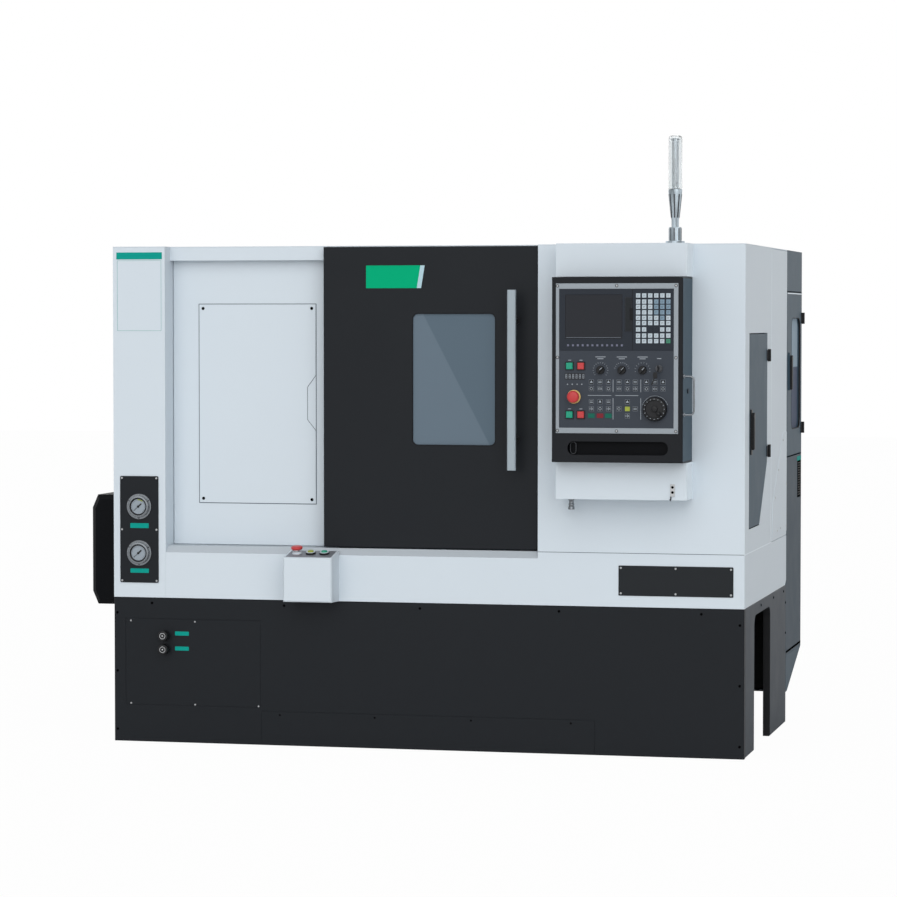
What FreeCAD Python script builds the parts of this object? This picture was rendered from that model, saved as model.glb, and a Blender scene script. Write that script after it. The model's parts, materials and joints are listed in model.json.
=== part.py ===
import FreeCAD, Part
import math
import os

import Sketcher

# A slant-bed turning lathe with a full sheet-metal enclosure, in millimetres.
# Machine axes: x from the enclosure's left front corner to the right, y from its front face to
# the back, z up from the floor. The last step moves everything to the middle of the footprint.

DIMENSIONS = {
    # enclosure
    "front_width": 2200,
    "overall_height": 1716,
    "body_depth": 1062,
    "full_depth": 1486,
    "floor_gap": 3,
    "apron_bottom": 504,
    "seam_height": 684,
    "sheet": 2,
    "fold": 25,
    "bend": 3,
    "column_width": 188,
    "column_depth": 92,
    "recess": 90,
    "roof_sheet": 3,
    "sill_drop": 22,
    "side_seam": 645,
    "rear_clearance": 118,
    # base openings
    "mouth_front": 238,
    "mouth_rear": 640,
    "mouth_top": 462,
    "mouth_radius": 38,
    "low_seam": 121,
    "low_strip_end": 1697,
    "hatch_left": 41,
    "hatch_right": 530,
    "hatch_bottom": 130,
    "hatch_top": 432,
    # sliding door
    "door_left": 747,
    "door_right": 1495,
    "door_face": 25,
    "door_depth": 28,
    "door_top": 1712,
    "window_left": 1061,
    "window_right": 1347,
    "window_bottom": 1040,
    "window_top": 1484,
    "window_radius": 18,
    "grip_left": 1404,
    "grip_width": 30,
    "grip_bottom": 959,
    "grip_top": 1564,
    "grip_reach": 75,
    # headstock service panel in the recess
    "panel_left": 284,
    "panel_right": 702,
    "panel_bottom": 831,
    "panel_top": 1517,
    # side door and service cover
    "side_door_front": 98,
    "side_door_rear": 540,
    "side_door_top": 1417,
    "side_door_bottom": 765,
    "side_door_depth": 20,
    "hinge_reach": 6,
    # electrical cabinet
    "cabinet_left": 1000,
    "cabinet_floor": 250,
    "cabinet_door_top": 1566,
    "cabinet_door_bottom": 967,
    # console and the two blocks of the pod that frame it
    "pod_left": 1587,
    "pod_right": 2025,
    "pod_reach": 127,
    "pod_bottom": 870,
    "console_left": 1587,
    "console_right": 2023,
    "console_reach": 195,
    "console_bottom": 995,
    "console_top": 1604,
    "bezel_left": 1601,
    "bezel_right": 2008,
    "bezel_bottom": 1091,
    "bezel_top": 1583,
    "units_left": 1612,
    "units_right": 1993,
    "units_bottom": 1109,
    "units_top": 1565,
    "units_split": 1362,
    # left motor cover, gauge plate, start box, lamp
    "motor_cover_reach": 146,
    "start_box_left": 638,
    "start_box_right": 808,
    "start_box_reach": 100,
    "start_box_slope": 11.3,
    "lamp_centre": 1958,
    "lamp_height": 360,
    # machine inside: spindle axis and the slanted bed
    "spindle_depth": 360,
    "spindle_height": 1045,
    "slant": 45,
    "swing": 330,
    "bed_left": 335,
    "bed_right": 2060,
    "headstock_right": 690,
    "spindle_radius": 60,
    "nose_radius": 82,
    "chuck_radius": 105,
    "chuck_depth": 91,
    "pulley_radius": 90,
    "motor_pulley_radius": 55,
    "motor_depth": 330,
    "motor_height": 655,
    "motor_radius": 110,
    "running_fit": 0.05,
    "slide_fit": 0.3,
    "disc_radius": 120,
    "disc_depth": 85,
    "disc_left": 1240,
    "disc_offset": 295,
    "quill_radius": 40,
    "barrel_radius": 62,
    "tailstock_left": 1760,
    "tailstock_length": 200,
}

doc = FreeCAD.newDocument("turning_lathe")
V = FreeCAD.Vector


class Size:
    """A length or a number that carries its value and the sheet formula that gives it."""

    def __init__(self, value, formula=None):
        self.value = float(value)
        self.formula = formula or "(%s)" % repr(float(value))

    def __add__(self, other):
        other = size(other)
        return Size(self.value + other.value, "(%s + %s)" % (self.formula, other.formula))

    def __sub__(self, other):
        other = size(other)
        return Size(self.value - other.value, "(%s - %s)" % (self.formula, other.formula))

    def __mul__(self, other):
        other = size(other)
        return Size(self.value * other.value, "(%s * %s)" % (self.formula, other.formula))

    def __truediv__(self, other):
        other = size(other)
        return Size(self.value / other.value, "(%s / %s)" % (self.formula, other.formula))

    def __rsub__(self, other):
        return size(other) - self

    def __neg__(self):
        return size(0) - self

    __radd__ = __add__
    __rmul__ = __mul__


def size(value):
    return value if isinstance(value, Size) else Size(value)


def make_sheet():
    """The spreadsheet of driving dimensions, and a Size for each of them."""
    sheet = doc.addObject("Spreadsheet::Sheet", "dims")
    named = {}
    for row, (alias, value) in enumerate(DIMENSIONS.items(), start=1):
        sheet.set("A%d" % row, alias)
        sheet.set("B%d" % row, str(value))
        sheet.setAlias("B%d" % row, alias)
        named[alias] = Size(value, "dims." + alias)
    doc.recompute()
    return type("Dimensions", (), named)


d = make_sheet()

TURN = {"X": V(0, 1, 0), "Y": V(-1, 0, 0), "Z": V(0, 0, 1)}
QUARTER = {"X": 90, "Y": 90, "Z": 0}
PLANES = {"X": "YZ_Plane", "Y": "XZ_Plane", "Z": "XY_Plane"}
DIRECTIONS = {"X": V(1, 0, 0), "Y": V(0, 1, 0), "Z": V(0, 0, 1)}


def bind(obj, path, value):
    obj.setExpression(path, size(value).formula)


def move(obj, x, y, z):
    bind(obj, "Placement.Base.x", x)
    bind(obj, "Placement.Base.y", y)
    bind(obj, "Placement.Base.z", z)
    return obj


def block(x, y, z):
    """A box between two values on each axis."""
    box = doc.addObject("Part::Box", "block")
    bind(box, "Length", x[1] - size(x[0]))
    bind(box, "Width", y[1] - size(y[0]))
    bind(box, "Height", z[1] - size(z[0]))
    return move(box, x[0], y[0], z[0])


def start_point(axis, start, at):
    p, q = at
    return {"X": (start, p, q), "Y": (p, start, q), "Z": (p, q, start)}[axis]


def rod(axis, along, at, radius):
    """A cylinder along an axis, between two values, with its centre line at the other two."""
    cylinder = doc.addObject("Part::Cylinder", "rod")
    cylinder.Placement.Rotation = FreeCAD.Rotation(TURN[axis], QUARTER[axis])
    bind(cylinder, "Radius", radius)
    bind(cylinder, "Height", along[1] - size(along[0]))
    return move(cylinder, *start_point(axis, along[0], at))


def faceted(axis, along, at, radius, sides=16, bevel=0, outer_first=True):
    """A small round made of many flats, with a bevel at its outer end if one is given."""
    body = doc.addObject("PartDesign::Body", "body")
    core = body.newObject("PartDesign::AdditivePrism", "core")
    core.Polygon = sides
    length = size(along[1]) - along[0]
    bind(core, "Circumradius", radius)
    bind(core, "Height", length)
    doc.recompute()
    if bevel:
        outer_end = 0 if outer_first else length.value
        soften(body, bevel, on_face("Z", outer_end), "Chamfer")
    body.Placement.Rotation = FreeCAD.Rotation(TURN[axis], QUARTER[axis])
    return move(body, *start_point(axis, along[0], at))


def faceted_taper(axis, along, at, first, last, sides=16):
    """A many-sided round that widens from first to last, its flats drafted from the wide end."""
    body = faceted(axis, along, at, last, sides)
    base = body.Tip
    length = size(along[1]) - along[0]
    flats = [
        "Face%d" % (i + 1)
        for i, face in enumerate(base.Shape.Faces)
        if abs(face.normalAt(0, 0).z) < 0.1
    ]
    slope = (size(last) - first) * math.cos(math.pi / sides) / length
    draft = body.newObject("PartDesign::Draft", "draft")
    draft.Base = (base, flats)
    draft.NeutralPlane = (base, [flat_face(base.Shape, "Z", length.value)])
    draft.Reversed = True
    angle = math.degrees(math.atan(slope.value))
    bind(draft, "Angle", Size(angle, "atan(%s)" % slope.formula))
    doc.recompute()
    return body


def fuse(*pieces):
    joined = doc.addObject("Part::MultiFuse", "joined")
    joined.Shapes = list(pieces)
    joined.Refine = True
    return joined


def group(*pieces):
    """Separate solids of one kind, kept together."""
    together = doc.addObject("Part::Compound", "group")
    together.Links = list(pieces)
    return together


def cut(base, *tools):
    result = doc.addObject("Part::Cut", "cut")
    result.Base = base
    result.Tool = tools[0] if len(tools) == 1 else group(*tools)
    return result


def draw(sketch, outline):
    """A closed outline whose every corner is held by two formulas."""
    first = len(sketch.Geometry)
    count = len(outline)
    corners = [(size(a), size(b)) for a, b in outline]
    for i, (a, b) in enumerate(corners):
        following = corners[(i + 1) % count]
        end = V(following[0].value, following[1].value, 0)
        sketch.addGeometry(Part.LineSegment(V(a.value, b.value, 0), end))
    for i in range(count):
        sketch.addConstraint(
            Sketcher.Constraint("Coincident", first + i, 2, first + (i + 1) % count, 1)
        )
    for i, corner in enumerate(corners):
        for kind, value in zip(("DistanceX", "DistanceY"), corner):
            held = Sketcher.Constraint(kind, -1, 1, first + i, 1, value.value)
            number = sketch.addConstraint(held)
            sketch.setExpression("Constraints[%d]" % number, value.formula)


def new_sketch(body, axis, start, outlines):
    sketch = body.newObject("Sketcher::SketchObject", "outline")
    plane = [f for f in body.Origin.OriginFeatures if f.Role == PLANES[axis]][0]
    sketch.AttachmentSupport = [(plane, "")]
    sketch.MapMode = "FlatFace"
    bind(sketch, "AttachmentOffset.Base.z", -size(start) if axis == "Y" else start)
    for outline in outlines:
        draw(sketch, outline)
    return sketch


def prism(axis, outline, along, holes=()):
    """A body padded along an axis from one value to another; its outline is in the other two."""
    body = doc.addObject("PartDesign::Body", "body")
    start, end = size(along[0]), size(along[1])
    sketch = new_sketch(body, axis, start, [outline, *holes])
    pad = body.newObject("PartDesign::Pad", "pad")
    pad.Profile = sketch
    forward = end.value > start.value
    pad.Reversed = forward == (axis == "Y")
    bind(pad, "Length", end - start if forward else start - end)
    doc.recompute()
    return body


def edge_names(shape, wanted):
    return ["Edge%d" % (i + 1) for i, edge in enumerate(shape.Edges) if wanted(edge)]


def soften(body, radius, wanted, kind="Fillet"):
    """Rounds or chamfers the edges of a body that the test picks."""
    base = body.Tip
    names = edge_names(base.Shape, wanted)
    feature = body.newObject("PartDesign::" + kind, kind.lower())
    feature.Base = (base, names)
    bind(feature, "Radius" if kind == "Fillet" else "Size", radius)
    doc.recompute()
    return body


def along_axis(edge, axis):
    ends = [v.Point for v in edge.Vertexes]
    if len(ends) != 2:
        return False
    run = ends[1] - ends[0]
    return abs(abs(run.dot(DIRECTIONS[axis])) - run.Length) < 1e-6


def flat_face(shape, axis, value):
    """The name of the flat face that stands at a value on an axis."""
    for i, face in enumerate(shape.Faces):
        box = face.BoundBox
        low = {"X": box.XMin, "Y": box.YMin, "Z": box.ZMin}[axis]
        high = {"X": box.XMax, "Y": box.YMax, "Z": box.ZMax}[axis]
        if abs(low - value) < 1e-4 and abs(high - value) < 1e-4:
            return "Face%d" % (i + 1)
    raise ValueError("no flat face at %s %.1f" % (axis, value))


def on_face(axis, value):
    """A test for the outer edges of the face at a value on an axis."""

    def wanted(edge):
        box = edge.BoundBox
        low = {"X": box.XMin, "Y": box.YMin, "Z": box.ZMin}[axis]
        high = {"X": box.XMax, "Y": box.YMax, "Z": box.ZMax}[axis]
        return abs(low - value) < 1e-4 and abs(high - value) < 1e-4

    return wanted


def hollow(body, axis, open_at, wall):
    """Leaves a wall of sheet behind every face except the one at open_at."""
    base = body.Tip
    shell = body.newObject("PartDesign::Thickness", "shell")
    shell.Base = (base, [flat_face(base.Shape, axis, size(open_at).value)])
    shell.Reversed = True
    bind(shell, "Value", wall)
    doc.recompute()
    return body


def pan(axis, outline, face, back, holes=(), corner=0):
    """A folded cover: a skin at face with its edges bent back as far as back."""
    body = prism(axis, outline, (face, back), holes)
    frames = [[(size(a).value, size(b).value) for a, b in hole] for hole in holes]

    def in_a_hole(edge):
        p = edge.CenterOfMass
        spot = {"X": (p.y, p.z), "Y": (p.x, p.z), "Z": (p.x, p.y)}[axis]
        for frame in frames:
            spans = [(min(values), max(values)) for values in zip(*frame)]
            if all(low - 0.1 < value < high + 0.1 for value, (low, high) in zip(spot, spans)):
                return True
        return False

    if corner:
        soften(body, corner, lambda edge: along_axis(edge, axis) and in_a_hole(edge))
    front = on_face(axis, size(face).value)
    soften(body, d.bend, lambda edge: front(edge) and not in_a_hole(edge), "Chamfer")
    return hollow(body, axis, back, d.sheet)


def rectangle(a, b):
    return [(a[0], b[0]), (a[1], b[0]), (a[1], b[1]), (a[0], b[1])]


NODES = {}
# What stands out past the sheets: lock levers to the right, handwheel knob in front, knuckles behind.
LEVER_REACH, WHEEL_REACH, KNUCKLE_REACH = 14.3, 40, 5.5
X_MIDDLE = (d.front_width + LEVER_REACH - d.motor_cover_reach) / 2
Y_MIDDLE = (d.full_depth + KNUCKLE_REACH - d.console_reach - WHEEL_REACH) / 2


def finish(name, obj, spot=(0, 0, 0), axis=None, angle=0):
    """Names a finished piece, turns it about its own axis and puts it in its place."""
    obj.Label = name
    if axis:
        obj.Placement.Rotation = FreeCAD.Rotation(DIRECTIONS[axis], 10)
        bind(obj, "Placement.Rotation.Angle", angle)
    move(obj, spot[0] - X_MIDDLE, spot[1] - Y_MIDDLE, spot[2])
    NODES[name] = obj
    return obj


# ---------------------------------------------------------------- the slanted bed
COSINE = Size(math.cos(math.radians(d.slant.value)), "cos(dims.slant)")
SINE = Size(math.sin(math.radians(d.slant.value)), "sin(dims.slant)")
# The point on the bed's slanted face right under the spindle axis.
FOOT_DEPTH = d.spindle_depth + d.swing * SINE
FOOT_HEIGHT = d.spindle_height - d.swing * COSINE
SLANT_ORIGIN = (0, FOOT_DEPTH, FOOT_HEIGHT)


def on_slant(up, out):
    """Depth and height of a point given along and square to the slanted face."""
    return FOOT_DEPTH + up * COSINE - out * SINE, FOOT_HEIGHT + up * SINE + out * COSINE


# Ways as (lower edge, upper edge) up the slope, and how far they stand out.
TAILSTOCK_WAYS = ((-285, -245), (-180, -140))
SADDLE_WAYS = ((-80, -30), (240, 290))
TAILSTOCK_WAY_RISE = 30
SADDLE_WAY_RISE = 35
FACE_LOW, FACE_HIGH = -320, 340
BED_SOLE = 60
FEET_X, FEET_Y = (420, 1190, 1960), (184, 860)


def bed_casting():
    """Cast bed: slanted face with four ways, a chip tunnel under it and cored ribs behind."""
    front, rear, sole = 130, 1000, BED_SOLE
    shelf, shoulder, crest_depth = 505, 800, 930
    ways = []
    for pair, rise in ((TAILSTOCK_WAYS, TAILSTOCK_WAY_RISE), (SADDLE_WAYS, SADDLE_WAY_RISE)):
        for low, high in pair:
            ways += [(low, 0), (low, rise), (high, rise), (high, 0)]
    slanted = [on_slant(up, out) for up, out in [(FACE_LOW, 0), *ways, (FACE_HIGH, 0)]]
    foot = slanted[0][0]
    outline = [
        (front, sole),
        (d.mouth_front, sole),
        (d.mouth_front, d.mouth_top),
        (d.mouth_rear, d.mouth_top),
        (d.mouth_rear, sole),
        (rear, sole),
        (rear, shoulder),
        (crest_depth, slanted[-1][1]),
        *reversed(slanted),
        (foot, shelf),
        (front, shelf),
    ]
    casting = prism("X", outline, (d.bed_left, d.bed_right))
    slot_x = (780, 1580)
    chip_slot = block(slot_x, (d.mouth_front, foot), (d.mouth_top - 1, shelf + 1))
    core, rib, count = 200, 44, 7
    core_depth, core_z = 700, (130, 700)
    starts = [360 + i * (core + rib) for i in range(count)]
    pockets = [block((x, x + core), (core_depth, rear + 1), core_z) for x in starts]
    pad_width, pad_height, ribs_x, pads_z = 90, 70, (537, 1757), (140, 730)
    cover_pads = [
        block((x, x + pad_width), (rear - 5, d.body_depth - d.sheet), (z, z + pad_height))
        for x in ribs_x
        for z in pads_z
    ]
    finish("bed_casting", fuse(cut(casting, chip_slot, *pockets), *cover_pads))


def levelling_feet():
    """Six square pads, each with the hexagonal jack screw that carries the bed."""
    pad, pad_height, screw_radius = 50, 20, 22
    feet = []
    for x in FEET_X:
        for y in FEET_Y:
            plate = block((x - pad, x + pad), (y - pad, y + pad), (0, pad_height))
            screw = faceted("Z", (pad_height - 2, BED_SOLE), (x, y), screw_radius, 6)
            feet.append(fuse(plate, screw))
    finish("levelling_feet", group(*feet))


def headstock():
    """Casting that stands on the ways and carries the spindle in a bored barrel."""
    half, shoulder, top, crown, barrel = 150, 290, 360, 95, 135
    foot_top, foot_reach = 80, 290
    right = d.headstock_right - 20
    outline = [
        (-half, SADDLE_WAY_RISE),
        (half, SADDLE_WAY_RISE),
        (half, shoulder),
        (crown, top),
        (-crown, top),
        (-half, shoulder),
    ]
    body = prism("X", outline, (d.bed_left, right))
    nose = faceted("X", (d.bed_left, d.headstock_right), (0, d.swing), barrel, 28)
    foot = block((d.bed_left, right), (half, foot_reach), (SADDLE_WAY_RISE, foot_top))
    bore = rod("X", (0, 1000), (0, d.swing), d.spindle_radius + d.running_fit)
    finish("headstock", cut(fuse(body, nose, foot), bore), SLANT_ORIGIN, "X", d.slant)


PULLEY_LEFT, PULLEY_RIGHT, MOTOR_SHAFT = 262, 322, 20
CHUCK_LEFT = d.headstock_right + 26


def spindle():
    """Turned spindle: nose flange, shaft through the headstock and a pulley behind."""
    body = doc.addObject("PartDesign::Body", "body")
    bore = 26
    flange_left = d.headstock_right + 1
    shaft = d.spindle_radius
    rim = d.pulley_radius
    outline = [
        (PULLEY_LEFT, bore),
        (CHUCK_LEFT, bore),
        (CHUCK_LEFT, d.nose_radius),
        (flange_left, d.nose_radius),
        (flange_left, shaft),
        (PULLEY_RIGHT + 3, shaft),
        (PULLEY_RIGHT + 3, rim),
        (PULLEY_LEFT, rim),
    ]
    profile = new_sketch(body, "Y", 0, [outline])
    turned = body.newObject("PartDesign::Revolution", "turned")
    turned.Profile = profile
    turned.ReferenceAxis = (profile, ["H_Axis"])
    turned.Angle = 360
    doc.recompute()
    finish("spindle", body, (0, d.spindle_depth, d.spindle_height))


SLOT_HALF, SLOT_DEEP = 20, 20
JAW_TURNS = (30, 150, 270)


def chuck():
    """Three-jaw power chuck: body with radial slots, screw seats and a centre recess."""
    body = doc.addObject("PartDesign::Body", "body")
    disc = body.newObject("PartDesign::AdditiveCylinder", "disc")
    bind(disc, "Radius", d.chuck_radius)
    bind(disc, "Height", d.chuck_depth)
    doc.recompute()
    slot_inner, slot_outer = 34, 120
    seat_half, seat_middle, seat_deep = 9, 75, 12
    recess_radius, recess_deep = 30, 16
    slot_sketch = new_sketch(
        body, "Z", d.chuck_depth, [rectangle((-SLOT_HALF, SLOT_HALF), (slot_inner, slot_outer))]
    )
    slot = body.newObject("PartDesign::Pocket", "slot")
    slot.Profile = slot_sketch
    bind(slot, "Length", SLOT_DEEP)
    doc.recompute()
    across = (-seat_half, seat_half)
    inward = (-seat_middle - seat_half, -seat_middle + seat_half)
    seat = body.newObject("PartDesign::Pocket", "screw_seat")
    seat.Profile = new_sketch(body, "Z", d.chuck_depth, [rectangle(across, inward)])
    bind(seat, "Length", seat_deep)
    doc.recompute()
    pattern = body.newObject("PartDesign::PolarPattern", "three_slots")
    pattern.Originals = [slot, seat]
    pattern.Axis = (slot_sketch, ["N_Axis"])
    pattern.Angle = 360
    pattern.Occurrences = len(JAW_TURNS)
    body.Tip = pattern
    doc.recompute()
    centre = new_sketch(body, "Z", d.chuck_depth, [])
    centre.addGeometry(Part.Circle(V(0, 0, 0), V(0, 0, 1), recess_radius))
    recess = body.newObject("PartDesign::Pocket", "centre_recess")
    recess.Profile = centre
    bind(recess, "Length", recess_deep)
    doc.recompute()
    finish("chuck", body, (CHUCK_LEFT, d.spindle_depth, d.spindle_height), "Y", 90)


def chuck_jaws():
    """Stepped hard jaws whose tongues slide in the chuck's slots."""
    half = SLOT_HALF - d.slide_fit
    clear = d.slide_fit
    bore_side, first_step, second_step, rim_side = 50, 68, 84, 98
    low, middle, high = 22, 44, 62
    steps = [
        (clear - SLOT_DEEP, bore_side),
        (clear - SLOT_DEEP, rim_side),
        (low, rim_side),
        (low, second_step),
        (middle, second_step),
        (middle, first_step),
        (high, first_step),
        (high, bore_side),
    ]
    spot = (CHUCK_LEFT + d.chuck_depth, d.spindle_depth, d.spindle_height)
    for number, turn in enumerate(JAW_TURNS, start=1):
        finish("chuck_jaw_%d" % number, prism("Y", steps, (-half, half)), spot, "X", turn)


def motor_fin(turn):
    """One cooling fin, turned about the motor's axis."""
    left, right, half, sunk, height = -60, 200, 4, 6, 14
    fin = block((left, right), (-half, half), (0, height))
    fin.Placement.Rotation = FreeCAD.Rotation(DIRECTIONS["X"], turn)
    sine, cosine = math.sin(math.radians(turn)), math.cos(math.radians(turn))
    root = d.motor_radius - sunk
    return move(
        fin,
        left,
        d.motor_depth - half * cosine - root * sine,
        d.motor_height - half * sine + root * cosine,
    )


def spindle_motor():
    """Main motor: finned body, rear hood, front flange and two arms bolted to the bed."""
    at = (d.motor_depth, d.motor_height)
    hood_left, body_left, flange_left, flange_right = -110, -70, 220, 236
    low, high, flange_y = 530, 780, (205, 455)
    body = faceted("X", (body_left, flange_left), at, d.motor_radius, 20)
    hood = faceted("X", (hood_left, body_left), at, d.motor_radius - 14, 20)
    flange = block((flange_left, flange_right), flange_y, (low, high))
    fin_count = 10
    fins = [motor_fin(360 / fin_count * i) for i in range(fin_count)]
    arm_y, arm_width, arm_height = (372, 412), 40, 30
    arms = [
        block((flange_right - 1, d.bed_left), (y, y + arm_width), (low, low + arm_height))
        for y in arm_y
    ]
    box_x, box_y = (40, 150), (255, 405)
    terminal_box = block(box_x, box_y, (d.motor_height + 95, d.motor_height + 150))
    bore = rod("X", (flange_left - 20, flange_right + 4), at, MOTOR_SHAFT + d.running_fit)
    piece = cut(fuse(body, hood, flange, terminal_box, *fins, *arms), bore)
    finish("spindle_motor", piece)


def motor_pulley():
    """Pulley on the motor's shaft, which runs in the motor's front flange."""
    at = (d.motor_depth, d.motor_height)
    rim = faceted("X", (PULLEY_LEFT, PULLEY_RIGHT + 3), at, d.motor_pulley_radius, 28)
    shaft_end = 201
    shaft = faceted("X", (shaft_end, PULLEY_LEFT + 1), at, MOTOR_SHAFT, 20)
    finish("motor_pulley", fuse(rim, shaft))


BELT_FLATS = 12


def belt_corners(spindle_side, motor_side):
    """Corners of a loop round both pulleys: short flats round each, joined by straight runs."""
    across = d.motor_depth.value - d.spindle_depth.value
    down = d.motor_height.value - d.spindle_height.value
    line = math.atan2(down, across)
    lean = math.acos((spindle_side.value - motor_side.value) / math.hypot(across, down))
    arcs = (
        (d.spindle_depth, d.spindle_height, spindle_side, line + lean, 2 * (math.pi - lean)),
        (d.motor_depth, d.motor_height, motor_side, line - lean, 2 * lean),
    )
    corners = []
    for depth, height, radius, start, sweep in arcs:
        step = sweep / BELT_FLATS
        reach = radius / math.cos(step / 2)
        for i in range(BELT_FLATS + 1):
            turn = start + i * step
            corners.append((depth + reach * math.cos(turn), height + reach * math.sin(turn)))
    return corners


def drive_belt():
    """Belt from the motor pulley up to the spindle pulley, clear of both by the slide fit."""
    clear, thick = d.slide_fit, 8
    spindle_side, motor_side = d.pulley_radius + clear, d.motor_pulley_radius + clear
    inner = belt_corners(spindle_side, motor_side)
    outer = belt_corners(spindle_side + thick, motor_side + thick)
    finish("drive_belt", prism("X", outer, (PULLEY_LEFT + 1, PULLEY_RIGHT + 1), [inner]))


def way_slots(ways, rise, length):
    """Channels in a slide that leave the running fit round the ways."""
    clear = d.slide_fit
    return [
        block((length[0] - 1, length[1] + 1), (low - clear, high + clear), (-1, rise + clear))
        for low, high in ways
    ]


SADDLE = (1275, 1585)
CROSS_RAILS = (95, 120)
RAILS_X, RAIL_WIDTH = (1345, 1490), 45


def saddle():
    """Carriage: rides on the two upper ways and carries the cross slide's rails."""
    low, high, above_bed = -110, 335, 10
    plate = block(SADDLE, (low, high), (above_bed, CROSS_RAILS[0]))
    rail_ends = (-60, 470)
    rails = [
        block((x, x + RAIL_WIDTH), rail_ends, (CROSS_RAILS[0] - 1, CROSS_RAILS[1]))
        for x in RAILS_X
    ]
    box_x, box_ends, box_low = (1400, 1480), (high - 5, 465), 40
    screw_box = block(box_x, box_ends, (box_low, CROSS_RAILS[0]))
    thick, wiper_top = 12, 92
    wipers = [
        block((x, x + thick), (low - 4, high + 3), (above_bed, wiper_top))
        for x in (SADDLE[0] - thick, SADDLE[1])
    ]
    slots = way_slots(SADDLE_WAYS, SADDLE_WAY_RISE, (SADDLE[0] - 15, SADDLE[1] + 15))
    keep = cut(fuse(plate, *rails, screw_box, *wipers), *slots)
    finish("saddle", keep, SLANT_ORIGIN, "X", d.slant)


def turret_housing():
    """Cross slide with the turret's gear case and its indexing motor."""
    clear = d.slide_fit
    base_x, base_ends, base_top = (1335, 1545), (170, 430), 170
    base = block(base_x, base_ends, (CROSS_RAILS[0] + 3, base_top))
    case_x = (1340, 1540)
    case = [
        (205, 165),
        (385, 165),
        (385, 380),
        (345, 425),
        (245, 425),
        (205, 380),
    ]
    tower = prism("X", case, case_x)
    hub_span = (d.disc_left + d.disc_depth + clear, case_x[0] + 1)
    hub = faceted("X", hub_span, (d.disc_offset, d.swing), 75, 24)
    motor_end, motor_drop = 1672, 30
    motor_at = (d.disc_offset, d.swing - motor_drop)
    motor = faceted("X", (case_x[1] - 1, motor_end), motor_at, 50, 20)
    slots = [
        block((x - clear, x + RAIL_WIDTH + clear), (150, 450), (0, CROSS_RAILS[1] + clear))
        for x in RAILS_X
    ]
    piece = cut(fuse(base, tower, hub, motor), *slots)
    finish("turret_housing", piece, SLANT_ORIGIN, "X", d.slant)


def turning_tool(flat):
    """Block holder on one flat of the disc with its square-shank tool and slanted tip."""
    half, shank, tip = 24, 12, 42
    holder = prism("Y", rectangle((-16, 60), (flat - 34, flat + 12)), (-half, half))
    side = [(-shank, flat + 6), (shank, flat + 6), (shank, flat + 34), (-shank, flat + tip)]
    tool = prism("Y", side, (-10, 10))
    return fuse(holder, tool)


def turret_disc():
    """Eight-sided tool disc: a turning tool and a boring bar holder by turns round its rim."""
    stations = 8
    half_turn = math.radians(180 / stations)
    rim = [
        (
            d.disc_radius * math.cos(half_turn * (2 * i + 1)),
            d.disc_radius * math.sin(half_turn * (2 * i + 1)),
        )
        for i in range(stations)
    ]
    body = prism("X", rim, (0, d.disc_depth))
    soften(body, 5, on_face("X", 0), "Chamfer")
    flat = d.disc_radius * math.cos(half_turn)
    pieces = [body, faceted("X", (-10, 4), (0, 0), 42, 20)]
    collar, bar = -34, -62
    for i in range(stations // 2):
        holder = turning_tool(flat)
        holder.Placement.Rotation = FreeCAD.Rotation(DIRECTIONS["X"], 90 * i)
        pieces.append(holder)
        turn = math.radians(90 * i + 45)
        out = flat - 34
        at = (-out * math.sin(turn), out * math.cos(turn))
        pieces.append(faceted("X", (collar, 4), at, 24, 12))
        pieces.append(faceted("X", (bar, collar + 4), at, 11, 8))
    spot = on_slant(d.disc_offset, d.swing)
    finish("turret_disc", fuse(*pieces), (d.disc_left, *spot), "X", d.slant)


def tailstock():
    """Tailstock casting: saddle on the lower ways and an arm up to the quill's barrel."""
    left, right = d.tailstock_left, d.tailstock_left + d.tailstock_length
    base_ends, above_bed, base_top, side = (-300, -122), 8, 95, 12
    base = block((left, right), base_ends, (above_bed, base_top))
    arm = [(-292, 90), (-125, 90), (-125, 138), (-56, 205), (-40, 300), (-60, 345), (-110, 300)]
    web = prism("X", arm, (left + side, right - side))
    at = (0, d.swing)
    barrel = faceted("X", (left - 20, right + 30), at, d.barrel_radius, 28)
    slots = way_slots(TAILSTOCK_WAYS, TAILSTOCK_WAY_RISE, (left, right))
    bore = rod("X", (left - 21, right + 20), at, d.quill_radius + d.running_fit)
    piece = cut(fuse(base, web, barrel), bore, *slots)
    finish("tailstock", piece, SLANT_ORIGIN, "X", d.slant)


def quill():
    """Sliding quill with a fixed sixty-degree centre in its nose."""
    left, length, point_length = d.tailstock_left - 60, 200, 50
    at = (0, d.swing)
    shaft = rod("X", (left, left + length), at, d.quill_radius)
    tip, root = 1, 29
    point = faceted_taper("X", (left - point_length, left + 1), at, tip, root, 24)
    finish("tailstock_quill", fuse(shaft, point), SLANT_ORIGIN, "X", d.slant)


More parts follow.
